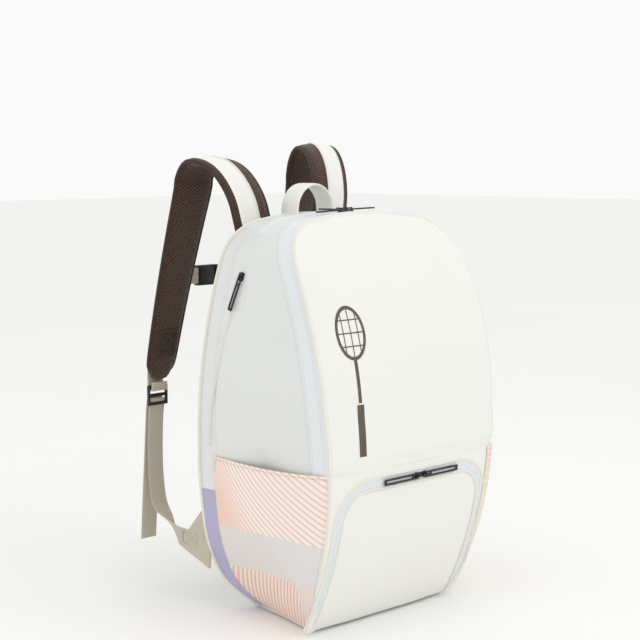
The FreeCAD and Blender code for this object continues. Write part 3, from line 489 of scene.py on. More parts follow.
SEAM_GAP = 3.4 * MM
front_seam = seam(front_rows, SEAM_GAP, -0.12)
back_seam = seam(back_rows, -SEAM_GAP, 0.13)


def over(s, y, seen):
    """The same, with s from the left foot (0) over the top to the right foot (1)."""
    point = arch(2 * min(s, 1 - s), y, seen)
    if s > 0.5:
        point.x = -point.x
    return point


def outline(found):
    """The line that a face shares with the shell, as a function of s."""
    return lambda s: over(s, along(found, 2 * min(s, 1 - s)), COVERED)


print("seams at the waist", round(along(front_seam, 0.5), 3), round(along(back_seam, 0.5), 3))

# %% [markdown]
# ## Laying a grid
# A flat grid from create_grid is laid over the frame point by point. The grid keeps its real lengths as a UV map, and
# each point its distance to the nearest seam. Then the cloth is given a crown and small puckers by moving points
# along their normals, and an extrusion inwards gives it thickness.

# %% grids and pieces
HEART = Vector((0, 0.01, 0.25))


def shares(count):
    """The numbers from 0 to 1 in equal steps."""
    return [k / count for k in range(count + 1)]


def lengths(points):
    """Length of the way to each of a row of points."""
    found = [0.0]
    for before, after in zip(points, points[1:]):
        found.append(found[-1] + (after - before).length)
    return found


def laid(columns, rows, place, borders="lrbt", heart=HEART):
    """A grid laid by place(s, t), facing away from the heart, with UV lengths and seam distances."""
    shape = bmesh.new()
    flat = shape.loops.layers.uv.new("UVMap")
    edge = shape.verts.layers.float.new("edge")
    run = shape.verts.layers.float.new("run")
    bmesh.ops.create_grid(shape, x_segments=columns, y_segments=rows, size=0.5)
    spots = {}
    for vert in shape.verts:
        spots[vert] = (round((vert.co.x + 0.5) * columns), round((vert.co.y + 0.5) * rows))
    cells = {spot: vert for vert, spot in spots.items()}
    for vert, (i, j) in spots.items():
        vert.co = place(i / columns, j / rows)
    wide = [lengths([cells[i, j].co for i in range(columns + 1)]) for j in range(rows + 1)]
    high = [lengths([cells[i, j].co for j in range(rows + 1)]) for i in range(columns + 1)]
    for vert, (i, j) in spots.items():
        gaps = {"l": wide[j][i], "r": wide[j][-1] - wide[j][i], "b": high[i][j], "t": high[i][-1] - high[i][j]}
        nearest = min(borders, key=lambda word: gaps[word]) if borders else "b"
        vert[edge] = gaps[nearest] if borders else 1.0
        vert[run] = wide[j][i] if nearest in "bt" else high[i][j]
    for face in shape.faces:
        for loop in face.loops:
            i, j = spots[loop.vert]
            loop[flat].uv = (wide[rows // 2][i], high[columns // 2][j])
    shape.normal_update()
    facing = sum((f.normal.dot(f.calc_center_median() - heart) * f.calc_area() for f in shape.faces))
    if facing < 0:
        bmesh.ops.reverse_faces(shape, faces=shape.faces[:])
    shape.normal_update()
    return shape


def raised(shape, lift):
    """Moves each point along its normal by lift(place, distance to seam, length along seam)."""
    edge = shape.verts.layers.float["edge"]
    run = shape.verts.layers.float["run"]
    moves = [(vert, vert.normal * lift(vert.co, vert[edge], vert[run])) for vert in shape.verts]
    for vert, move in moves:
        vert.co += move
    shape.normal_update()
    return shape


def thickened(shape, depth):
    """Gives a sheet its thickness inwards, so its outside stays where it is."""
    shape.normal_update()
    outside = shape.faces[:]
    made = bmesh.ops.extrude_face_region(shape, geom=outside, use_keep_orig=True)["geom"]
    inside = [part for part in made if isinstance(part, bmesh.types.BMVert)]
    for vert in inside:
        vert.co -= vert.normal * depth
    bmesh.ops.recalc_face_normals(shape, faces=shape.faces[:])
    return shape


def closed_up(shape):
    """Merges the points where a grid meets itself, caps the open ends and turns every face outwards."""
    bmesh.ops.remove_doubles(shape, verts=shape.verts[:], dist=0.02 * MM)
    bmesh.ops.holes_fill(shape, edges=[e for e in shape.edges if e.is_boundary])
    bmesh.ops.recalc_face_normals(shape, faces=shape.faces[:])
    return shape


def piece(shape, name, paint, body, replaces=(), slot=None, crease=40):
    """Turns a finished shape into an object that rides on a body."""
    mesh = bpy.data.meshes.new(name)
    for face in shape.faces:
        face.smooth = True
    shape.to_mesh(mesh)
    shape.free()
    mesh.set_sharp_from_angle(angle=radians(crease))
    mesh.materials.append(paint)
    made = bpy.data.objects.new(name, mesh)
    scene.collection.objects.link(made)
    if body:
        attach(made, body)
    if replaces:
        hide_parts(*replaces)
    print(name, len(mesh.polygons), "faces")
    return made


def panel(shape, depth, name, paint, body, replaces=(), slot=None):
    """A sewn sheet: thickened and hung on its body."""
    area = sum(face.calc_area() for face in shape.faces)
    made = piece(thickened(shape, depth), name, paint, body, replaces, slot)
    return made


def eased_in(value):
    """0 below 0, 1 above 1, and a smooth rise between."""
    value = min(max(value, 0.0), 1.0)
    return value * value * (3 - 2 * value)


def ripple(place, size):
    """Slow unevenness of hand-sewn cloth, from -1 to 1."""
    return noise.noise(place / size)


PUCKER_LENGTH, PUCKER_REACH = 0.011, 0.02


def puckers(place, gap, length, depth):
    """Small gathers that a row of stitches pulls into the cloth beside it."""
    wave = noise.noise(Vector((length / PUCKER_LENGTH, place.z * 3, 7.3)))
    return depth * wave * max(0.0, 1 - gap / PUCKER_REACH) ** 2


def sewn(crown, roll, unevenness):
    """The usual lift of a sewn panel: it rolls down into the seam, crowns in the middle and is never quite flat."""
    def lift(place, gap, length):
        down = -roll * (1 - eased_in(gap / (4 * roll))) if roll else 0.0
        up = crown * eased_in(gap / 0.07)
        slow = unevenness * ripple(place, 0.075) * eased_in(gap / 0.03)
        return down + up + slow + puckers(place, gap, length, 0.5 * MM)
    return lift


# %% [markdown]
# ## The shell
# The sides and top are one length of cloth that goes from the left foot over the top to the right foot, between the
# zip tape at the front and the gusset at the back. It is cut along the racket zip, and on the right the cut stands
# open as a slot. Two grids meet along that cut, and their points are merged wherever it is closed.

# %% sides and top
BAND = 28 * MM
REAR_BAND = 24 * MM
ZIP_LINE = 42 * MM
SLOT_START, SLOT_END = 32 * MM, 130 * MM
SLOT_HALF = 13 * MM
CUT_SHARE = 0.61


def slot_gap(x):
    """Half the opening of the racket slot at a place across the bag."""
    share = (x - (SLOT_START + SLOT_END) / 2) / ((SLOT_END - SLOT_START) / 2)
    return SLOT_HALF * (1 - share * share) if abs(share) < 1 else 0.0


def shell_span(q):
    """Depth of the shell's front and rear edge at a place on the arch."""
    return along(front_seam, q) + BAND, along(back_seam, q) - REAR_BAND


def filled_out(point):
    """The cloth stands out a little above the side pockets, where the full compartment presses on it."""
    bulge = eased_in((point.z - 0.19) / 0.05) * (1 - eased_in((point.z - 0.25) / 0.16))
    start, end = shell_span(min((point.z - FOOT) / (WAIST - FOOT), 1) / 2)
    share = (point.y - start) / (end - start)
    middle = eased_in(min(share, 1 - share) / 0.4)
    way = -1 if point.x < 0 else 1
    return Vector((way * 7 * MM * bulge * middle, 0, 0))


def shell_half(part):
    """place(s, t) of the cloth in front of the cut (part 0) or behind it (part 1)."""
    def place(s, t):
        q = 2 * min(s, 1 - s)
        start, end = shell_span(q)
        level = start + CUT_SHARE * (end - start)
        cut_y = level + (ZIP_LINE - level) * eased_in((q - 0.58) / 0.14)
        here = over(s, cut_y, SHELL)
        gap = slot_gap(here.x) if q > 0.6 else 0.0
        if part == 0:
            y = start + (cut_y - gap - start) * t
        else:
            y = cut_y + gap + (end - cut_y - gap) * t
        point = over(s, y, SHELL)
        lip = gap / SLOT_HALF * (eased_in(t) if part == 0 else eased_in(1 - t))
        rise = Vector((0, 0, (4.0 if part == 0 else 2.0) * MM * lip ** 3))
        return point + filled_out(point) + rise
    return place


shape = laid(300, 26, shell_half(0), "b")
rear = laid(300, 16, shell_half(1), "t")
for half in (shape, rear):
    raised(half, sewn(0.8 * MM, 0.6 * MM, 0.9 * MM))
mesh = bpy.data.meshes.new("rear_half")
rear.to_mesh(mesh)
rear.free()
shape.from_mesh(mesh)
bpy.data.meshes.remove(mesh)
bmesh.ops.remove_doubles(shape, verts=shape.verts[:], dist=0.4 * MM)
panel(shape, 2 * MM, "shell_sides_and_top", SIDE_CLOTH, "bag",
      ("left_side_panel", "right_side_panel", "top_panel"), "side_cloth")

# %% [markdown]
# ## Zip bands and gussets
# The main zip runs up both sides of the front and over the top in a band of tape 28 mm wide. It is a reverse coil
# zip, so no teeth show: two rolled lips meet over the coil, and three fine lines remain. A narrower gusset closes the
# shell at the back, and its foot is lavender.

# %% band beside the front seam
LIP_FROM_FRONT = 10 * MM
BAND_START = 0.2
BAND_HIDDEN = 0.185
FOLD_CLEAR = 0.208


def band_s(z):
    """Where along the arch the left side reaches a height below the waist."""
    return (z - FOOT) / (WAIST - FOOT) / 4


def banded(s, t):
    """The strip of tape: its ends go down behind the side pockets."""
    start = band_s(BAND_HIDDEN)
    s = start + (1 - 2 * start) * s
    seen = COVERED if band_s(BAND_START) < s < 1 - band_s(BAND_START) else SHELL
    return over(s, along(front_seam, 2 * min(s, 1 - s)) + BAND * t, seen)


def lips(place, gap, length):
    """Cross-section of the tape: two soft rolls, with lines between them."""
    return 0.25 * MM + 0.35 * MM * abs(sin(pi * gap / (7 * MM))) + puckers(place, gap, length, 0.25 * MM)


shape = raised(laid(280, 28, banded, "bt"), lips)
panel(shape, 2 * MM, "main_zip_band", TAPE, "bag", ("main_zip_tape",), "zip_tape")


# %% tubes along a line
def tube(points, radius, name, paint, body, replaces=(), slot=None, ring=3):
    """A round cord or piping through points, made by a bevelled curve and kept as a mesh."""
    curve = bpy.data.curves.new(name + "_line", "CURVE")
    curve.dimensions = "3D"
    curve.bevel_depth = radius
    curve.bevel_resolution = ring
    curve.use_fill_caps = True
    spline = curve.splines.new("NURBS")
    spline.points.add(len(points) - 1)
    for target, point in zip(spline.points, points):
        target.co = (*point, 1)
    spline.order_u = 3
    spline.use_endpoint_u = True
    spline.resolution_u = 2
    holder = bpy.data.objects.new(name + "_line", curve)
    mesh = bpy.data.meshes.new_from_object(holder)
    bpy.data.objects.remove(holder)
    shape = bmesh.new()
    shape.from_mesh(mesh)
    bpy.data.meshes.remove(mesh)
    return piece(shape, name, paint, body, replaces, slot)


def seam_line(behind, out, first, last, count):
    """Points along the front seam, a distance behind the face and out from the cloth."""
    points = []
    for k in range(count + 1):
        s = first + (last - first) * k / count
        q = 2 * min(s, 1 - s)
        y = along(front_seam, q) - SEAM_GAP + behind
        point = over(s, y, COVERED)
        away = point - Vector((0, y, min(point.z, WAIST)))
        points.append(point + away.normalized() * out)
    return points


free_foot, band_foot = band_s(FOLD_CLEAR), band_s(BAND_START)
tube(seam_line(2.2 * MM, -0.4 * MM, free_foot, 1 - free_foot, 150), 1.7 * MM, "front_panel_piping", BINDING,
     "front_flap")
for side, lip in (("front", LIP_FROM_FRONT - 1.3 * MM), ("rear", LIP_FROM_FRONT + 1.3 * MM)):
    tube(seam_line(lip, 0.0, band_foot, 1 - band_foot, 150), 1.1 * MM, "main_zip_lip_" + side, TAPE, "bag")
tube(seam_line(SEAM_GAP + BAND - 1.0 * MM, 0.0, band_foot, 1 - band_foot, 150), 1.0 * MM, "main_band_rear_edge",
     TAPE, "bag")


# %% rear gusset and its piping
def gusset(s, t):
    return over(s, along(back_seam, 2 * min(s, 1 - s)) - REAR_BAND * (1 - t), COVERED)


shape = raised(laid(260, 10, gusset, "bt"), sewn(0.4 * MM, 0.5 * MM, 0.2 * MM))
panel(shape, 1.6 * MM, "rear_gusset", GUSSET_CLOTH, "bag", ("left_rear_gusset", "right_rear_gusset"), "side_cloth")
points = [gusset(s, 1) + Vector((0, 1.8 * MM, 0)) for s in shares(150)]
tube(points, 2.0 * MM, "rear_piping", BINDING, "bag")

# %% [markdown]
# ## The front
# The front panel is one sheet of coated cloth over a thin foam, held by its seams only, so it crowns a little. A
# Coons patch fills the outline between the seams: it averages the four edges, which keeps the grid even right into
# the rounded corners.


# %% patches between four edges
def coons(left, right, bottom, top):
    """Fills the outline between four edges, each a function of 0 to 1."""
    corners = (left(0), right(0), left(1), right(1))

    def place(s, t):
        ruled = left(t) * (1 - s) + right(t) * s + bottom(s) * (1 - t) + top(s) * t
        low = corners[0] * (1 - s) + corners[1] * s
        high = corners[2] * (1 - s) + corners[3] * s
        return ruled - (low * (1 - t) + high * t)
    return place


def filled_in(line, foot, corner):
    """The patch inside a line over the top, which starts at s = foot and has its corner's middle at s = corner."""
    return coons(lambda t: line(foot + (corner - foot) * t), lambda t: line(1 - foot - (corner - foot) * t),
                 lambda s: line(foot).lerp(line(1 - foot), s), lambda s: line(corner + (1 - 2 * corner) * s))


def on_front(point, out=0.0):
    return Vector((point.x, depth_at(front_rows, point.z) - out, point.z))


def on_back(point, out=0.0):
    return Vector((point.x, depth_at(back_rows, point.z) + out, point.z))


FOLD = 0.2
TUCK_UNDER = 3 * MM
CORNER_S = 0.385


front_outline = outline(front_seam)
front_grid = filled_in(front_outline, band_s(FOLD - TUCK_UNDER), CORNER_S)


def front_lift(place, gap, length):
    tuck = -2.2 * MM * (1 - eased_in((place.z - FOLD) / 0.014))
    return sewn(2.0 * MM, 1.0 * MM, 0.8 * MM)(place, gap, length) + tuck


shape = raised(laid(110, 110, lambda s, t: on_front(front_grid(s, t)), "lrt"), front_lift)
front_skin_tree = BVHTree.FromBMesh(shape)
front_skin = panel(shape, 2.4 * MM, "front_skin", FRONT_CLOTH, None, ("front_panel",), "coated_cloth")
fold_y = depth_at(front_rows, FOLD)
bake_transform(front_skin, "bag", "front_flap", (0, fold_y, 0.2), (0, fold_y, 0.209))

# %% the outline of the front pocket's mouth
MOUTH_HALF, MOUTH_TOP, MOUTH_CORNER = 129 * MM, 180 * MM, 45 * MM
MOUTH_FOOT = 4 * MM


def mouth_sizes(reach):
    """Half width, top, corner radius, leg, length of a corner's bend and length of the whole line."""
    half, top, corner = MOUTH_HALF + reach, MOUTH_TOP + reach, MOUTH_CORNER + reach
    leg = top - corner - MOUTH_FOOT
    bend = corner * pi / 2
    return half, top, corner, leg, bend, 2 * leg + 2 * bend + 2 * (half - corner)


def mouth(reach, s):
    """Point of the arched zip line moved outwards by reach: s from the left foot (0) to the right foot (1)."""
    half, top, corner, leg, bend, total = mouth_sizes(reach)
    way = min(s, 1 - s) * total
    if way < leg:
        x, z = -half, MOUTH_FOOT + way
    elif way < leg + bend:
        turn = (way - leg) / corner
        x, z = corner - half - corner * cos(turn), top - corner + corner * sin(turn)
    else:
        x, z = corner - half + way - leg - bend, top
    return Vector((x if s <= 0.5 else -x, 0, z))


def mouth_share(reach):
    """Where along that line the middle of its first corner is."""
    *_, leg, bend, total = mouth_sizes(reach)
    return (leg + bend / 2) / total


# %% the front pocket: flap, zip tape and border
HALF_TAPE = 6.5 * MM
HINGE_Z = 0.0272
flap_grid = filled_in(lambda s: mouth(-HALF_TAPE, s), 0, mouth_share(-HALF_TAPE))
shape = raised(laid(90, 70, lambda s, t: on_front(flap_grid(s, t)), "lrt"), sewn(2.2 * MM, 0.8 * MM, 0.7 * MM))
flap_skin = panel(shape, 2.4 * MM, "pocket_flap_skin", FRONT_CLOTH, None, ("pocket_flap",), "coated_cloth")
hinge_y = depth_at(front_rows, HINGE_Z)
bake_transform(flap_skin, "bag", "front_pocket_flap", (0, hinge_y, 0.023), (0, hinge_y, 0.036))


def tape_place(s, t):
    return on_front(mouth(-HALF_TAPE + 2 * HALF_TAPE * t, s))


shape = raised(laid(220, 12, tape_place, "bt"), lips)
panel(shape, 2 * MM, "pocket_zip_band", TAPE, "bag", ("pocket_zip_tape",), "zip_tape")
for word, reach in (("inner", -1.3 * MM), ("outer", 1.3 * MM)):
    points = [on_front(mouth(reach, s), 0.1 * MM) for s in shares(150)]
    tube(points, 1.1 * MM, "pocket_zip_lip_" + word, TAPE, "bag")
for word, reach in (("inner", -HALF_TAPE - 0.5 * MM), ("outer", HALF_TAPE + 0.8 * MM)):
    points = [on_front(mouth(reach, s), 0.3 * MM) for s in shares(150)]
    tube(points, 1.5 * MM, "pocket_piping_" + word, BINDING, "front_pocket_flap" if word == "inner" else "bag")

BORDER_TOP = 0.1995


def border_place(s, t):
    """From the tape out to the seams: the legs reach the side seams and the crossbar the fold."""
    inner = mouth(HALF_TAPE, s)
    share = mouth_share(HALF_TAPE)
    if min(s, 1 - s) < share:
        height = MOUTH_FOOT + (BORDER_TOP - MOUTH_FOOT) * min(s, 1 - s) / share
        outer = front_outline(band_s(height) if s < 0.5 else 1 - band_s(height))
    else:
        corner_x = front_outline(band_s(BORDER_TOP)).x
        outer = Vector((corner_x * (1 - 2 * (s - share) / (1 - 2 * share)), 0, BORDER_TOP))
    return on_front(inner.lerp(outer, t))


shape = raised(laid(220, 10, border_place, "t"), sewn(0.4 * MM, 0.5 * MM, 0.3 * MM))
panel(shape, 2.4 * MM, "pocket_border", FRONT_CLOTH, "bag", ("pocket_panel",), "coated_cloth")

# %% [markdown]
# ## The side pockets
# Each side pocket is a printed sheet sewn in at the front seam, the gusset and the base. Its top edge is a hem with
# elastic in it, which draws it in a little and dips in the middle.

# %% side pockets
HEM = 0.198


def skirt(side):
    """place(s, t) of a pocket's sheet, from the front seam to the gusset and from the foot to the hem."""
    fullness = (2 if side < 0 else 10) * MM

    def place(s, t):
        share = s if side < 0 else 1 - s
        y_front = along(front_seam, 2 * band_s(HEM) * t)
        y_back = along(back_seam, 2 * band_s(HEM) * t) - REAR_BAND + 1 * MM
        y = y_front + (y_back - y_front) * share
        sag = 5 * MM * sin(pi * share) * t
        point = arch(2 * band_s(FOOT + (HEM - sag - FOOT) * t), y, SKIRT)
        full = fullness * eased_in(share / 0.05) * (1 - eased_in((share - 0.1) / 0.4)) * eased_in(t / 0.35)
        return Vector((side * (abs(point.x) + full), point.y, point.z))
    return place


def hem_lift(place, gap, length):
    """A sewn panel's lift, drawn in towards the elastic."""
    drawn = -1.5 * MM * eased_in((place.z - 0.17) / 0.03)
    return sewn(0.8 * MM, 0.5 * MM, 0.7 * MM)(place, gap, length) + drawn


for word, side, cloth in (("left", -1, LEFT_PRINT), ("right", 1, RIGHT_PRINT)):
    shape = raised(laid(90, 70, skirt(side), "lrt"), hem_lift)
    panel(shape, 1.4 * MM, word + "_pocket_skin", cloth, "bag", (word + "_side_pocket",), "striped_cloth")
    hem_points = [skirt(side)(s, 1.0) + Vector((side * -1.0 * MM, 0, 0)) for s in shares(60)]
    tube(hem_points, 1.5 * MM, word + "_pocket_hem", cloth, "bag")
    first, last = (0.0, band_s(BAND_START)) if side < 0 else (1.0, 1 - band_s(BAND_START))
    tube(seam_line(2.2 * MM, -0.4 * MM, first, last, 60), 1.9 * MM, word + "_front_piping", BINDING, "bag",
         (word + "_front_binding",), "side_cloth")

# %% the right pocket's cloth wraps round the front corner
WRAP = 10 * MM
WRAP_LOW = 30 * MM


def wrap_place(s, t):
    """A strip of the pocket's cloth on the front face: s runs from its piping out to the corner."""
    z = WRAP_LOW + (HEM - WRAP_LOW) * t
    corner = front_outline(1 - band_s(z))
    width = WRAP * eased_in(t / 0.35)
    return on_front(Vector((corner.x - width * (1 - s), 0, z)), 1.5 * MM * (1 - s ** 4))


shape = laid(8, 60, wrap_place, "l")
panel(shape, 1.2 * MM, "right_pocket_wrap", RIGHT_PRINT, "bag", (), "striped_cloth")
tube([wrap_place(0, t) for t in shares(60)], 1.4 * MM, "right_pocket_wrap_piping", BINDING, "bag")

# %% [markdown]
# ## Base and back
# The base is a flat cloth over a stiff board. The back is a coated cloth shell with one large pad of brown spacer
# mesh sewn over the foam, and a padded yoke above it where the shoulder straps are sewn in.

# %% base
BASE_FRONT, BASE_BACK = -0.0445, 0.0765


def base_place(s, t):
    y = BASE_FRONT + (BASE_BACK - BASE_FRONT) * t
    rise = 2.0 * MM * max(abs(2 * s - 1), abs(2 * t - 1)) ** 12
    return Vector((abs(arch(0, y, COVERED).x) * (2 * s - 1), y, rise))


shape = laid(60, 40, base_place)
panel(shape, 2 * MM, "base_skin", SIDE_CLOTH, "bag", ("base_panel",), "coated_cloth")

# %% back cloth
BACK_CORNER = 0.37
back_grid = filled_in(outline(back_seam), 0, BACK_CORNER)
shape = raised(laid(80, 110, lambda s, t: on_back(back_grid(s, t)), "lrbt"), sewn(0.8 * MM, 1.0 * MM, 0.6 * MM))
panel(shape, 2 * MM, "back_skin", SIDE_CLOTH, "bag", ("back_panel",), "coated_cloth")

# %% back pad, swollen by a short cloth simulation
PAD_HALF, PAD_LOW, PAD_HIGH = 90 * MM, 40 * MM, 425 * MM
YOKE_HALF, YOKE_LOW, YOKE_HIGH = 92 * MM, 441 * MM, 477 * MM
PAD_SUNK, PAD_PROUD = -1 * MM, 6 * MM


def evaluated_mesh(holder):
    """An object's mesh with its modifiers applied."""
    return bpy.data.meshes.new_from_object(holder.evaluated_get(bpy.context.evaluated_depsgraph_get()))


def swollen(shape, name, cap):
    """Remeshes a closed shape, lets pressure fill it for 20 frames, and caps how far each point moves."""
    mesh = bpy.data.meshes.new(name)
    shape.to_mesh(mesh)
    shape.free()
    holder = bpy.data.objects.new(name, mesh)
    scene.collection.objects.link(holder)
    bpy.context.view_layer.objects.active = holder
    remesh = holder.modifiers.new("even", "REMESH")
    remesh.mode = "VOXEL"
    remesh.voxel_size = 6 * MM
    bpy.context.view_layer.update()
    even = evaluated_mesh(holder)
    holder.modifiers.clear()
    holder.data = even
    rest = [vert.co.copy() for vert in even.vertices]
    cloth = holder.modifiers.new("cloth", "CLOTH")
    cloth.settings.use_pressure = True
    cloth.settings.uniform_pressure_force = 4.0
    cloth.settings.effector_weights.gravity = 0
    for number in range(1, 21):
        scene.frame_set(number)
    filled = evaluated_mesh(holder)
    holder.modifiers.clear()
    for vert, start, end in zip(even.vertices, rest, [v.co.copy() for v in filled.vertices]):
        move = end - start
        vert.co = start + (move.normalized() * min(move.length, cap) if move.length else move)
    scene.frame_set(1)
    shape = bmesh.new()
    shape.from_mesh(holder.data)
    bpy.data.objects.remove(holder)
    bmesh.ops.subdivide_edges(shape, edges=shape.edges[:], cuts=1, use_grid_fill=True, smooth=0.5)
    return shape


def flat_uv(shape, along_axis=0, up_axis=2):
    """Lays a UV map straight on from one side, in metres."""
    flat = shape.loops.layers.uv.get("UVMap") or shape.loops.layers.uv.new("UVMap")
    for face in shape.faces:
        for loop in face.loops:
            loop[flat].uv = (loop.vert.co[along_axis], loop.vert.co[up_axis])


def pad_block(half, low, high, inner, outer, cuts):
    """A cube stretched to a pad and bent to the back's depth, standing from inner to outer proud of it."""
    shape = bmesh.new()
    bmesh.ops.create_cube(shape, size=1)
    bmesh.ops.subdivide_edges(shape, edges=shape.edges[:], cuts=cuts, use_grid_fill=True)
    for vert in shape.verts:
        x, y, z = vert.co * 2
        round_off = (1 - 0.10 * abs(z) ** 8, 1 - 0.06 * abs(x) ** 8)
        height = low + (high - low) * (z * round_off[1] + 1) / 2
        vert.co = (x * half * round_off[0],
                   depth_at(back_rows, height) + inner + (outer - inner) * (y + 1) / 2, height)
    bmesh.ops.recalc_face_normals(shape, faces=shape.faces[:])
    return shape


CHANNELS = ((0.0, 9 * MM, None), (None, 7 * MM, 0.165), (None, 7 * MM, 0.295))


def channelled(shape, deepest):
    """Sewn channels: straight grooves that reach down nearly to the cloth."""
    for vert in shape.verts:
        surface_y = depth_at(back_rows, vert.co.z)
        proud = vert.co.y - surface_y
        if proud <= 0:
            continue
        keep = 1.0
        for x, width, z in CHANNELS:
            off = abs(vert.co.x - x) if x is not None else abs(vert.co.z - z)
            keep = min(keep, deepest + (1 - deepest) * eased_in(off / width))
        vert.co.y = surface_y + proud * keep
    shape.normal_update()
    return shape


shape = pad_block(PAD_HALF, PAD_LOW, PAD_HIGH, PAD_SUNK, PAD_PROUD, 9)
shape = channelled(swollen(shape, "back_pad", 5 * MM), 0.25)
flat_uv(shape)
back_pad = piece(shape, "back_pad", BROWN_MESH, "bag", (), "spacer_mesh", 70)
shape = swollen(pad_block(YOKE_HALF, YOKE_LOW, YOKE_HIGH, PAD_SUNK, PAD_PROUD, 9), "strap_yoke_pad", 3 * MM)
flat_uv(shape)
yoke = piece(shape, "strap_yoke_pad", FRONT_CLOTH, "bag", ("strap_yoke",), "coated_cloth", 70)

# %% [markdown]
# ## Shoulder straps
# A shoulder strap is a foam core with brown spacer mesh on the wearer's side. On its outer side a white coated panel
# covers the outboard two thirds, and binding tape closes the edges. All of it follows one smooth middle line up from
# the yoke, over the top and down, so each layer is a grid bent round that line.

# %% the straps' middle line
STATIONS = ((73.4, 108.5, 0.32, 58), (78.8, 115.9, 0.59, 58), (84.2, 127.4, 0.81, 58),
            (89.6, 141.9, 0.95, 58), (95, 158, 1.0, 58))
TIP_RUN = ((98, 183, 517, 58), (101.8, 194.6, 468.6, 54.8), (105.6, 205.5, 420.2, 51.6), (109.4, 215.3, 371.8, 48.4),
           (113.2, 224, 323.4, 45.2), (117, 232, 275, 42))


def strap_line(side, peak):
    """Middle line of a strap as points with a width, from the yoke over the peak to the tip."""
    up = [(66.5, 103.5, 467, 58), (68, 106, 480, 58)]
    up += [(x, y, 480 + (peak - 480) * share, w) for x, y, share, w in STATIONS]
    bend = []
    for k in range(1, 4):
        turn = radians(90 * k / 4)
        bend.append((95 + 3 * k / 4, 158 + 25 * sin(turn), 517 + (peak - 517) * cos(turn), 58))
    return [Vector((side * x * MM, y * MM, z * MM, w * MM)) for x, y, z, w in up + bend + list(TIP_RUN)]


def smooth_line(points, share):
    """A point on the curve that passes through all the points (Catmull-Rom), and its direction."""
    spot = min(max(share, 0.0), 0.99999) * (len(points) - 1)
    k = floor(spot)
    t = spot - k
    before = points[max(k - 1, 0)]
    a, b = points[k], points[k + 1]
    after = points[min(k + 2, len(points) - 1)]
    here = 0.5 * (2 * a + (b - before) * t + (2 * before - 5 * a + 4 * b - after) * t * t
                  + (3 * a - before - 3 * b + after) * t ** 3)
    way = 0.5 * ((b - before) + 2 * (2 * before - 5 * a + 4 * b - after) * t
                 + 3 * (3 * a - before - 3 * b + after) * t * t)
    return here, way


def strap_frame(points, share):
    """Middle, outward direction and half width at a share of the strap's length."""
    here, way = smooth_line(points, share)
    out = Vector((0, -way.z, way.y)).normalized()
    return here.xyz, out, here[3] / 2


CORE_OUT, CORE_IN = 4.6 * MM, -5.8 * MM
TIP_ROUND = 0.045


def tapered(share):
    """How much of its width a strap keeps: it closes in a round at the tip."""
    left = (1 - share) / TIP_ROUND
    return sqrt(max(1 - (1 - left) ** 2, 0.0)) if left < 1 else 1.0


# %% strap layers
COVER_FROM, COVER_TO = -0.28, 0.97
SECTION_WIDE, SECTION_THICK = 0.55, 0.75


def squared(value, power):
    """Bends a number from -1 to 1 but keeps its sign, which makes a round section fuller or flatter."""
    return (1 if value > 0 else -1) * abs(value) ** power


def strap_body(points):
    """place(s, t) of the padded core: s along the strap, t round its section."""
    def place(s, t):
        middle, out, half = strap_frame(points, s)
        half = max(half * tapered(s), 0.4 * MM) - 1.0 * MM * (s < 0.99)
        across = squared(cos(2 * pi * t), SECTION_WIDE)
        thick = squared(sin(2 * pi * t), SECTION_THICK)
        soften = 0.25 + 0.75 * tapered(s)
        reach = (CORE_OUT if thick > 0 else -CORE_IN) * thick * soften
        return middle + Vector((half * across, 0, 0)) + out * reach
    return place


def strap_cover(points, side, low, high, lift):
    """place(s, t) of a sheet on the core's outside, across from low to high."""
    def place(s, t):
        share = 0.004 + 0.972 * s
        middle, out, half = strap_frame(points, share)
        across = low + (high - low) * t
        crown = (1 - abs(across) ** 3.2) ** 0.9
        return middle + Vector((side * half * tapered(share) * across, 0, 0)) + out * (CORE_OUT * crown + lift)
    return place


PEAKS = {"left": 555, "right": 571}
for word, side in (("left", -1), ("right", 1)):
    line = strap_line(side, PEAKS[word])
    body = word + "_strap"
    centre = Vector((side * 0.1, 0.17, 0.40))
    shape = closed_up(laid(120, 36, strap_body(line), "", centre))
    made = piece(shape, word + "_strap_pad", BROWN_MESH, body, (word + "_strap_foam", word + "_strap_mesh"),
                 "spacer_mesh", 60)
    shape = laid(120, 16, strap_cover(line, side, COVER_FROM, COVER_TO, 0.9 * MM), "lrbt", centre)
    panel(shape, 1.4 * MM, word + "_strap_panel", FRONT_CLOTH, body, (word + "_strap_cover",), "coated_cloth")
    row = strap_cover(line, side, COVER_FROM, COVER_FROM, 1.2 * MM)
    tube([row(0.05 + 0.95 * k / 70, 0) for k in range(71)], 1.0 * MM, word + "_panel_inner_edge", BINDING, body)
    rim = []
    for way, steps in ((1, range(61)), (-1, range(60, -1, -1))):
        for k in steps:
            share = 0.002 + 0.978 * k / 60
            middle, _, half = strap_frame(line, share)
            rim.append(middle + Vector((way * side * half * tapered(share), 0, 0)))
    tube(rim, 2.6 * MM, word + "_strap_binding", DARK_WEB, body)

# %% [markdown]
# ## Webbing
# All webbing is a flat woven band. Each one is a grid bent round a flat oval section and carried along its line, with
# a direction for its width, so it can turn from facing the wearer to lying flat on the bag's tab.


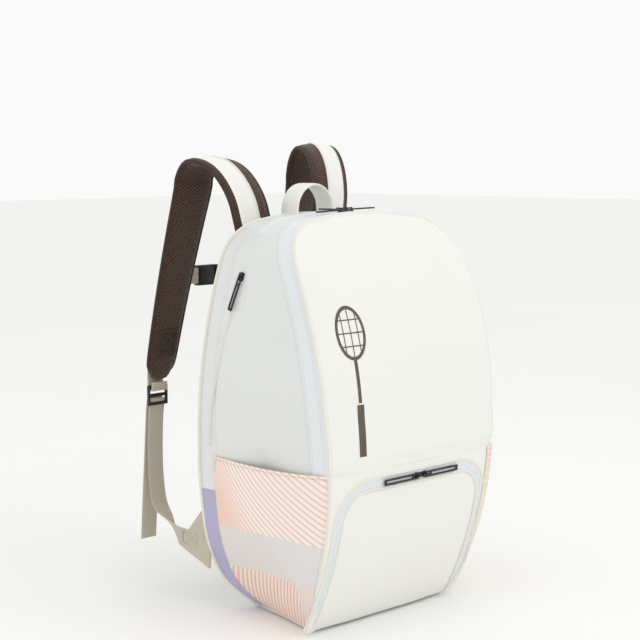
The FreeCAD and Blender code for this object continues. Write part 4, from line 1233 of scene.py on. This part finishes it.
# %% bands
def band(points, widths, width, thick, name, body, replaces=(), paint=WEBBING, columns=60, free=False):
    """A flat band through points. widths gives the direction of its width at its two ends."""
    line = [Vector((*p, 0)) * MM for p in points]

    def place(s, t):
        here, way = smooth_line(line, s)
        turn = eased_in((s - 0.45) / 0.5)
        side = Vector(widths[0]).lerp(Vector(widths[1]), turn)
        ahead = way.xyz.normalized()
        side = (side - ahead * side.dot(ahead)).normalized()
        out = side.cross(ahead)
        across, reach = squared(cos(2 * pi * t), 0.35), squared(sin(2 * pi * t), 0.6)
        return here.xyz + side * (width / 2 * across) + out * (thick / 2 * reach)
    made = piece(closed_up(laid(columns, 20, place, "")), name, paint, body, replaces, "webbing", 60)
    if free:
        path = [smooth_line(line, k / columns)[0].xyz for k in range(columns + 1)]
        lengths(path)[-1]
    return made


ADJUSTER_LINE = ((117, 234.5, 252), (118, 237, 226), (118, 239, 190), (118, 238, 149), (120, 230, 118),
                 (124, 214, 104), (131, 194, 95), (138, 170, 86), (139, 150, 84))
TAIL_LINE = ((117, 238.6, 256), (117.5, 242, 236), (118, 246, 180), (118, 251, 120), (118, 255, 66))

for word, side in (("left", -1), ("right", 1)):
    adjuster = band([(side * x, y, z) for x, y, z in ADJUSTER_LINE], ((side, 0, 0), (0, 0.35, 0.94)), 25 * MM,
                    1.7 * MM, word + "_adjusting_webbing", None, (word + "_strap_webbing",))
    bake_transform(adjuster, "bag", word + "_strap", (side * 0.122, 0.215, 0.107), (side * 0.118, 0.237, 0.245))
    band([(side * x, y, z) for x, y, z in TAIL_LINE], ((side, 0, 0), (side, 0, 0)), 25 * MM, 1.7 * MM,
         word + "_webbing_tail", word + "_strap", columns=50, free=True)

# %% [markdown]
# ## Hardware, tabs and small trim
# The frame's buckles, locks, sliders and pulls have the right shape. Each is copied, its doubled points are merged
# and its edges are rounded a little, as a mould or a tumbled casting leaves them.


# %% rounded copies of frame nodes
def frame_copy(node):
    """A frame node's shape with its doubled points merged."""
    shape = bmesh.new()
    shape.from_mesh(frame["nodes"][node].data)
    bmesh.ops.remove_doubles(shape, verts=shape.verts[:], dist=0.01 * MM)
    return shape


def eased(node, width, paint, slot, segments=2, flat=(0, 2)):
    """Rides and replaces a frame node with a copy whose edges are rounded."""
    shape = frame_copy(node)
    bmesh.ops.dissolve_limit(shape, angle_limit=radians(1), verts=shape.verts[:], edges=shape.edges[:])
    sharp = [e for e in shape.edges if e.is_manifold and e.calc_face_angle() > radians(35)]
    bmesh.ops.bevel(shape, geom=sharp, offset=width, affect="EDGES", segments=segments, profile=0.5, material=-1,
                    clamp_overlap=True)
    flat_uv(shape, *flat)
    return piece(shape, node + "_finished", paint, frame["nodes"][node]["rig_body"], (node,), slot, 50)


for word in ("main_left", "main_right", "racket", "pocket_left", "pocket_right", "side"):
    eased(word + "_slider", 0.45 * MM, ENAMEL, "black_slider")
    eased(word + "_pull", 0.55 * MM, CORD_GRIP, "black_cord")
for word in ("left", "right"):
    eased(word + "_ladder_lock", 0.9 * MM, ACETAL, "black_acetal")
    eased(word + "_strap_stub", 0.5 * MM, WEBBING, "webbing")
    eased(word + "_lower_tab", 1.2 * MM, WEBBING, "webbing", 3, (1, 2))
    eased("chest_webbing_" + word, 0.6 * MM, WEBBING, "webbing")
eased("chest_buckle_socket", 1.0 * MM, ACETAL, "black_acetal", 3)
eased("chest_buckle_clip", 0.7 * MM, ACETAL, "black_acetal")

# %% haul handle
HANDLE_Y, HANDLE_R = 77, 31
handle_points = [(-HANDLE_R, HANDLE_Y, 470), (-HANDLE_R, HANDLE_Y, 484)]
handle_points += [(-HANDLE_R * cos(radians(a)), HANDLE_Y, 494 + HANDLE_R * sin(radians(a)))
                  for a in range(0, 181, 20)]
handle_points += [(HANDLE_R, HANDLE_Y, 484), (HANDLE_R, HANDLE_Y, 470)]
band(handle_points, ((0, 1, 0), (0, 1, 0)), 29 * MM, 3.6 * MM, "haul_handle_band", "bag", ("haul_handle",),
     FRONT_CLOTH, 90)

# %% inner pieces
for node, paint, slot in (("pocket_back_wall", LINING, "lining"), ("racket_divider", FOAM, "foam"),
                          ("back_foam", FOAM, "foam"), ("back_stiffener", BOARD, "board"),
                          ("base_board", BOARD, "board")):
    shape = frame_copy(node)
    flat_uv(shape)
    inner = piece(shape, node + "_finished", paint, "bag", (node,), slot, 30)

# %% [markdown]
# ## The racket zip and the slot's lips
# The slot is edged with zip tape 8 mm wide on each side. It follows the cut, so the two tapes touch where the zip is
# closed and part round the open slot.


# %% racket zip tape
def roof(x, y):
    """Point of the shell's top at a place seen from above."""
    hit = SHELL.ray_cast(Vector((-abs(x), y, FAR)), Vector((0, 0, -1)))[0]
    return Vector((x, y, hit.z if hit else 0.4))


TAPE_LEFT, TAPE_RIGHT = -118 * MM, 134 * MM


def slot_tape(side):
    """place(s, t) of the tape in front of the cut (side -1) or behind it (side 1)."""
    def place(s, t):
        x = TAPE_LEFT + (TAPE_RIGHT - TAPE_LEFT) * s
        gap = slot_gap(x)
        y = ZIP_LINE + side * (gap + 0.3 * MM + 8 * MM * t)
        lip = (gap / SLOT_HALF) ** 3 * (1 - 0.5 * t) * (4.0 if side < 0 else 2.0) * MM
        return roof(x, y) + Vector((0, 0, 0.9 * MM + lip + 0.5 * MM * (1 - t)))
    return place


for word, side in (("front", -1), ("rear", 1)):
    shape = laid(130, 6, slot_tape(side), "t", HEART)
    panel(shape, 1.2 * MM, "racket_zip_" + word, TAPE, "bag", ("racket_zip_tape",) if side < 0 else (), "zip_tape")
    tube([slot_tape(side)(s, 0.06) for s in shares(130)], 0.9 * MM, "racket_zip_lip_" + word, TAPE, "bag")

# %% [markdown]
# ## Print
# The front carries a plain one-colour print up its left side: a racket seen face on, in generic lines. It is a thin
# film laid on the cloth, made of a ring and bars and set onto the front skin by rays.


# %% racket motif
def film(shape):
    """Sets a flat shape in the XZ plane onto the front cloth, a hair above it."""
    bmesh.ops.subdivide_edges(shape, edges=[e for e in shape.edges if e.calc_length() > 6 * MM], cuts=3,
                              use_grid_fill=True)
    for vert in shape.verts:
        hit = front_skin_tree.ray_cast(Vector((vert.co.x, -FAR, vert.co.z)), Vector((0, 1, 0)))[0]
        vert.co.y = hit.y - 0.35 * MM if hit else vert.co.y
    return shape


def bar(shape, x, z, wide, high):
    """Adds a flat bar in the XZ plane."""
    turn = Matrix.Rotation(radians(90), 4, "X")
    size = Matrix.Diagonal((wide / 2, 1, high / 2, 1))
    bmesh.ops.create_grid(shape, x_segments=2, y_segments=12, size=1,
                          matrix=Matrix.Translation((x, 0, z)) @ size @ turn)


PRINT_X, HEAD_Z = -95 * MM, 358 * MM
HOLE_HALF, HOLE_TALL = 20, 27
shape = bmesh.new()
for half_width, half_height in ((24 * MM, 31 * MM), (HOLE_HALF * MM, HOLE_TALL * MM)):
    size = Matrix.Diagonal((half_width, 1, half_height, 1))
    bmesh.ops.create_circle(shape, segments=72, radius=1, matrix=Matrix.Translation((PRINT_X, 0, HEAD_Z)) @ size
                            @ Matrix.Rotation(radians(90), 4, "X"))
bmesh.ops.bridge_loops(shape, edges=shape.edges[:])
STRING = 1.3 * MM
for offset in (-12, 0, 12):
    tall = HOLE_TALL * sqrt(1 - (offset / HOLE_HALF) ** 2)
    wide = HOLE_HALF * sqrt(1 - (offset * 1.25 / HOLE_TALL) ** 2)
    bar(shape, PRINT_X + offset * MM, HEAD_Z, STRING, 2 * MM * tall)
    bar(shape, PRINT_X, HEAD_Z + offset * 1.25 * MM, 2 * MM * wide, STRING)
bar(shape, PRINT_X, 303 * MM, 5 * MM, 50 * MM)
bar(shape, PRINT_X, 246 * MM, 11 * MM, 60 * MM)
film(shape)
flat_uv(shape)
bmesh.ops.recalc_face_normals(shape, faces=shape.faces[:])
for face in shape.faces:
    if face.normal.y > 0:
        face.normal_flip()
piece(shape, "racket_motif_print", INK, "front_flap")

# %% [markdown]
# ## Small sewn details
# The hidden pocket on the left has a zip that leaves only a seam with two lips. The webbing tabs and strap tips are
# held by box stitches with a cross, drawn here in thread.


# %% side zip seam
SIDE_SEAM = [Vector((0, y, z, 0)) * MM for z, y in
             ((418, 50), (384, 60), (347, 72), (300, 84), (255, 93), (212, 98))]


def side_seam(share, out):
    """Point of the seam on the left side, a little out from the cloth."""
    here = smooth_line(SIDE_SEAM, share)[0]
    point = SHELL.ray_cast(Vector((-FAR, here.y, here.z)), Vector((1, 0, 0)))[0]
    point += filled_out(point)
    return point + Vector((-out, 0, 0))


for word, shift in (("front", -1.0), ("rear", 1.0)):
    points = [side_seam(share, 0.6 * MM) + Vector((0, shift * MM, 0)) for share in shares(60)]
    tube(points, 0.9 * MM, "side_zip_lip_" + word, SIDE_CLOTH, "bag")


# %% box stitches
def cross_box(name, centre, right, up, half_width, half_height, paint, body):
    """A box stitch with a cross in it: one line of thread laid round and over."""
    corners = ((-1, -1), (1, -1), (1, 1), (-1, 1), (-1, -1), (1, 1), (1, -1), (-1, 1))
    spots = [Vector(centre) + Vector(right) * half_width * a + Vector(up) * half_height * b for a, b in corners]
    points = []
    for a, b in zip(spots, spots[1:]):
        points += [a.lerp(b, k / 6) for k in range(6)]
    tube(points + [spots[-1]], 0.45 * MM, name, paint, body, ring=1)


STITCHED_AT, JUST_ABOVE = 0.93, 0.90
TAB_X, TAB_Y, TAB_Z = 140.6 * MM, 0.148, 0.086


for word, side in (("left", -1), ("right", 1)):
    line = strap_line(side, PEAKS[word])
    middle, out, _ = strap_frame(line, STITCHED_AT)
    upward = (strap_frame(line, JUST_ABOVE)[0] - middle).normalized()
    spot = middle + out * (CORE_IN - 0.9 * MM)
    patch = laid(12, 12, lambda s, t: spot + Vector(((2 * s - 1) * 15 * MM, 0, 0)) + upward * (2 * t - 1) * 17 * MM
                 - out * 0.3 * MM, "lrbt", spot + out * 0.1)
    panel(patch, 1.4 * MM, word + "_tip_patch", DARK_WEB, word + "_strap", (), "spacer_mesh")
    cross_box(word + "_tip_stitch", spot - out * 0.7 * MM, (1, 0, 0), upward, 11 * MM, 12 * MM, DARK_THREAD,
              word + "_strap")
    cross_box(word + "_tab_stitch", (side * TAB_X, TAB_Y, TAB_Z), (0, 1, 0), (0, 0, 1), 13 * MM, 9 * MM, THREAD,
              "bag")
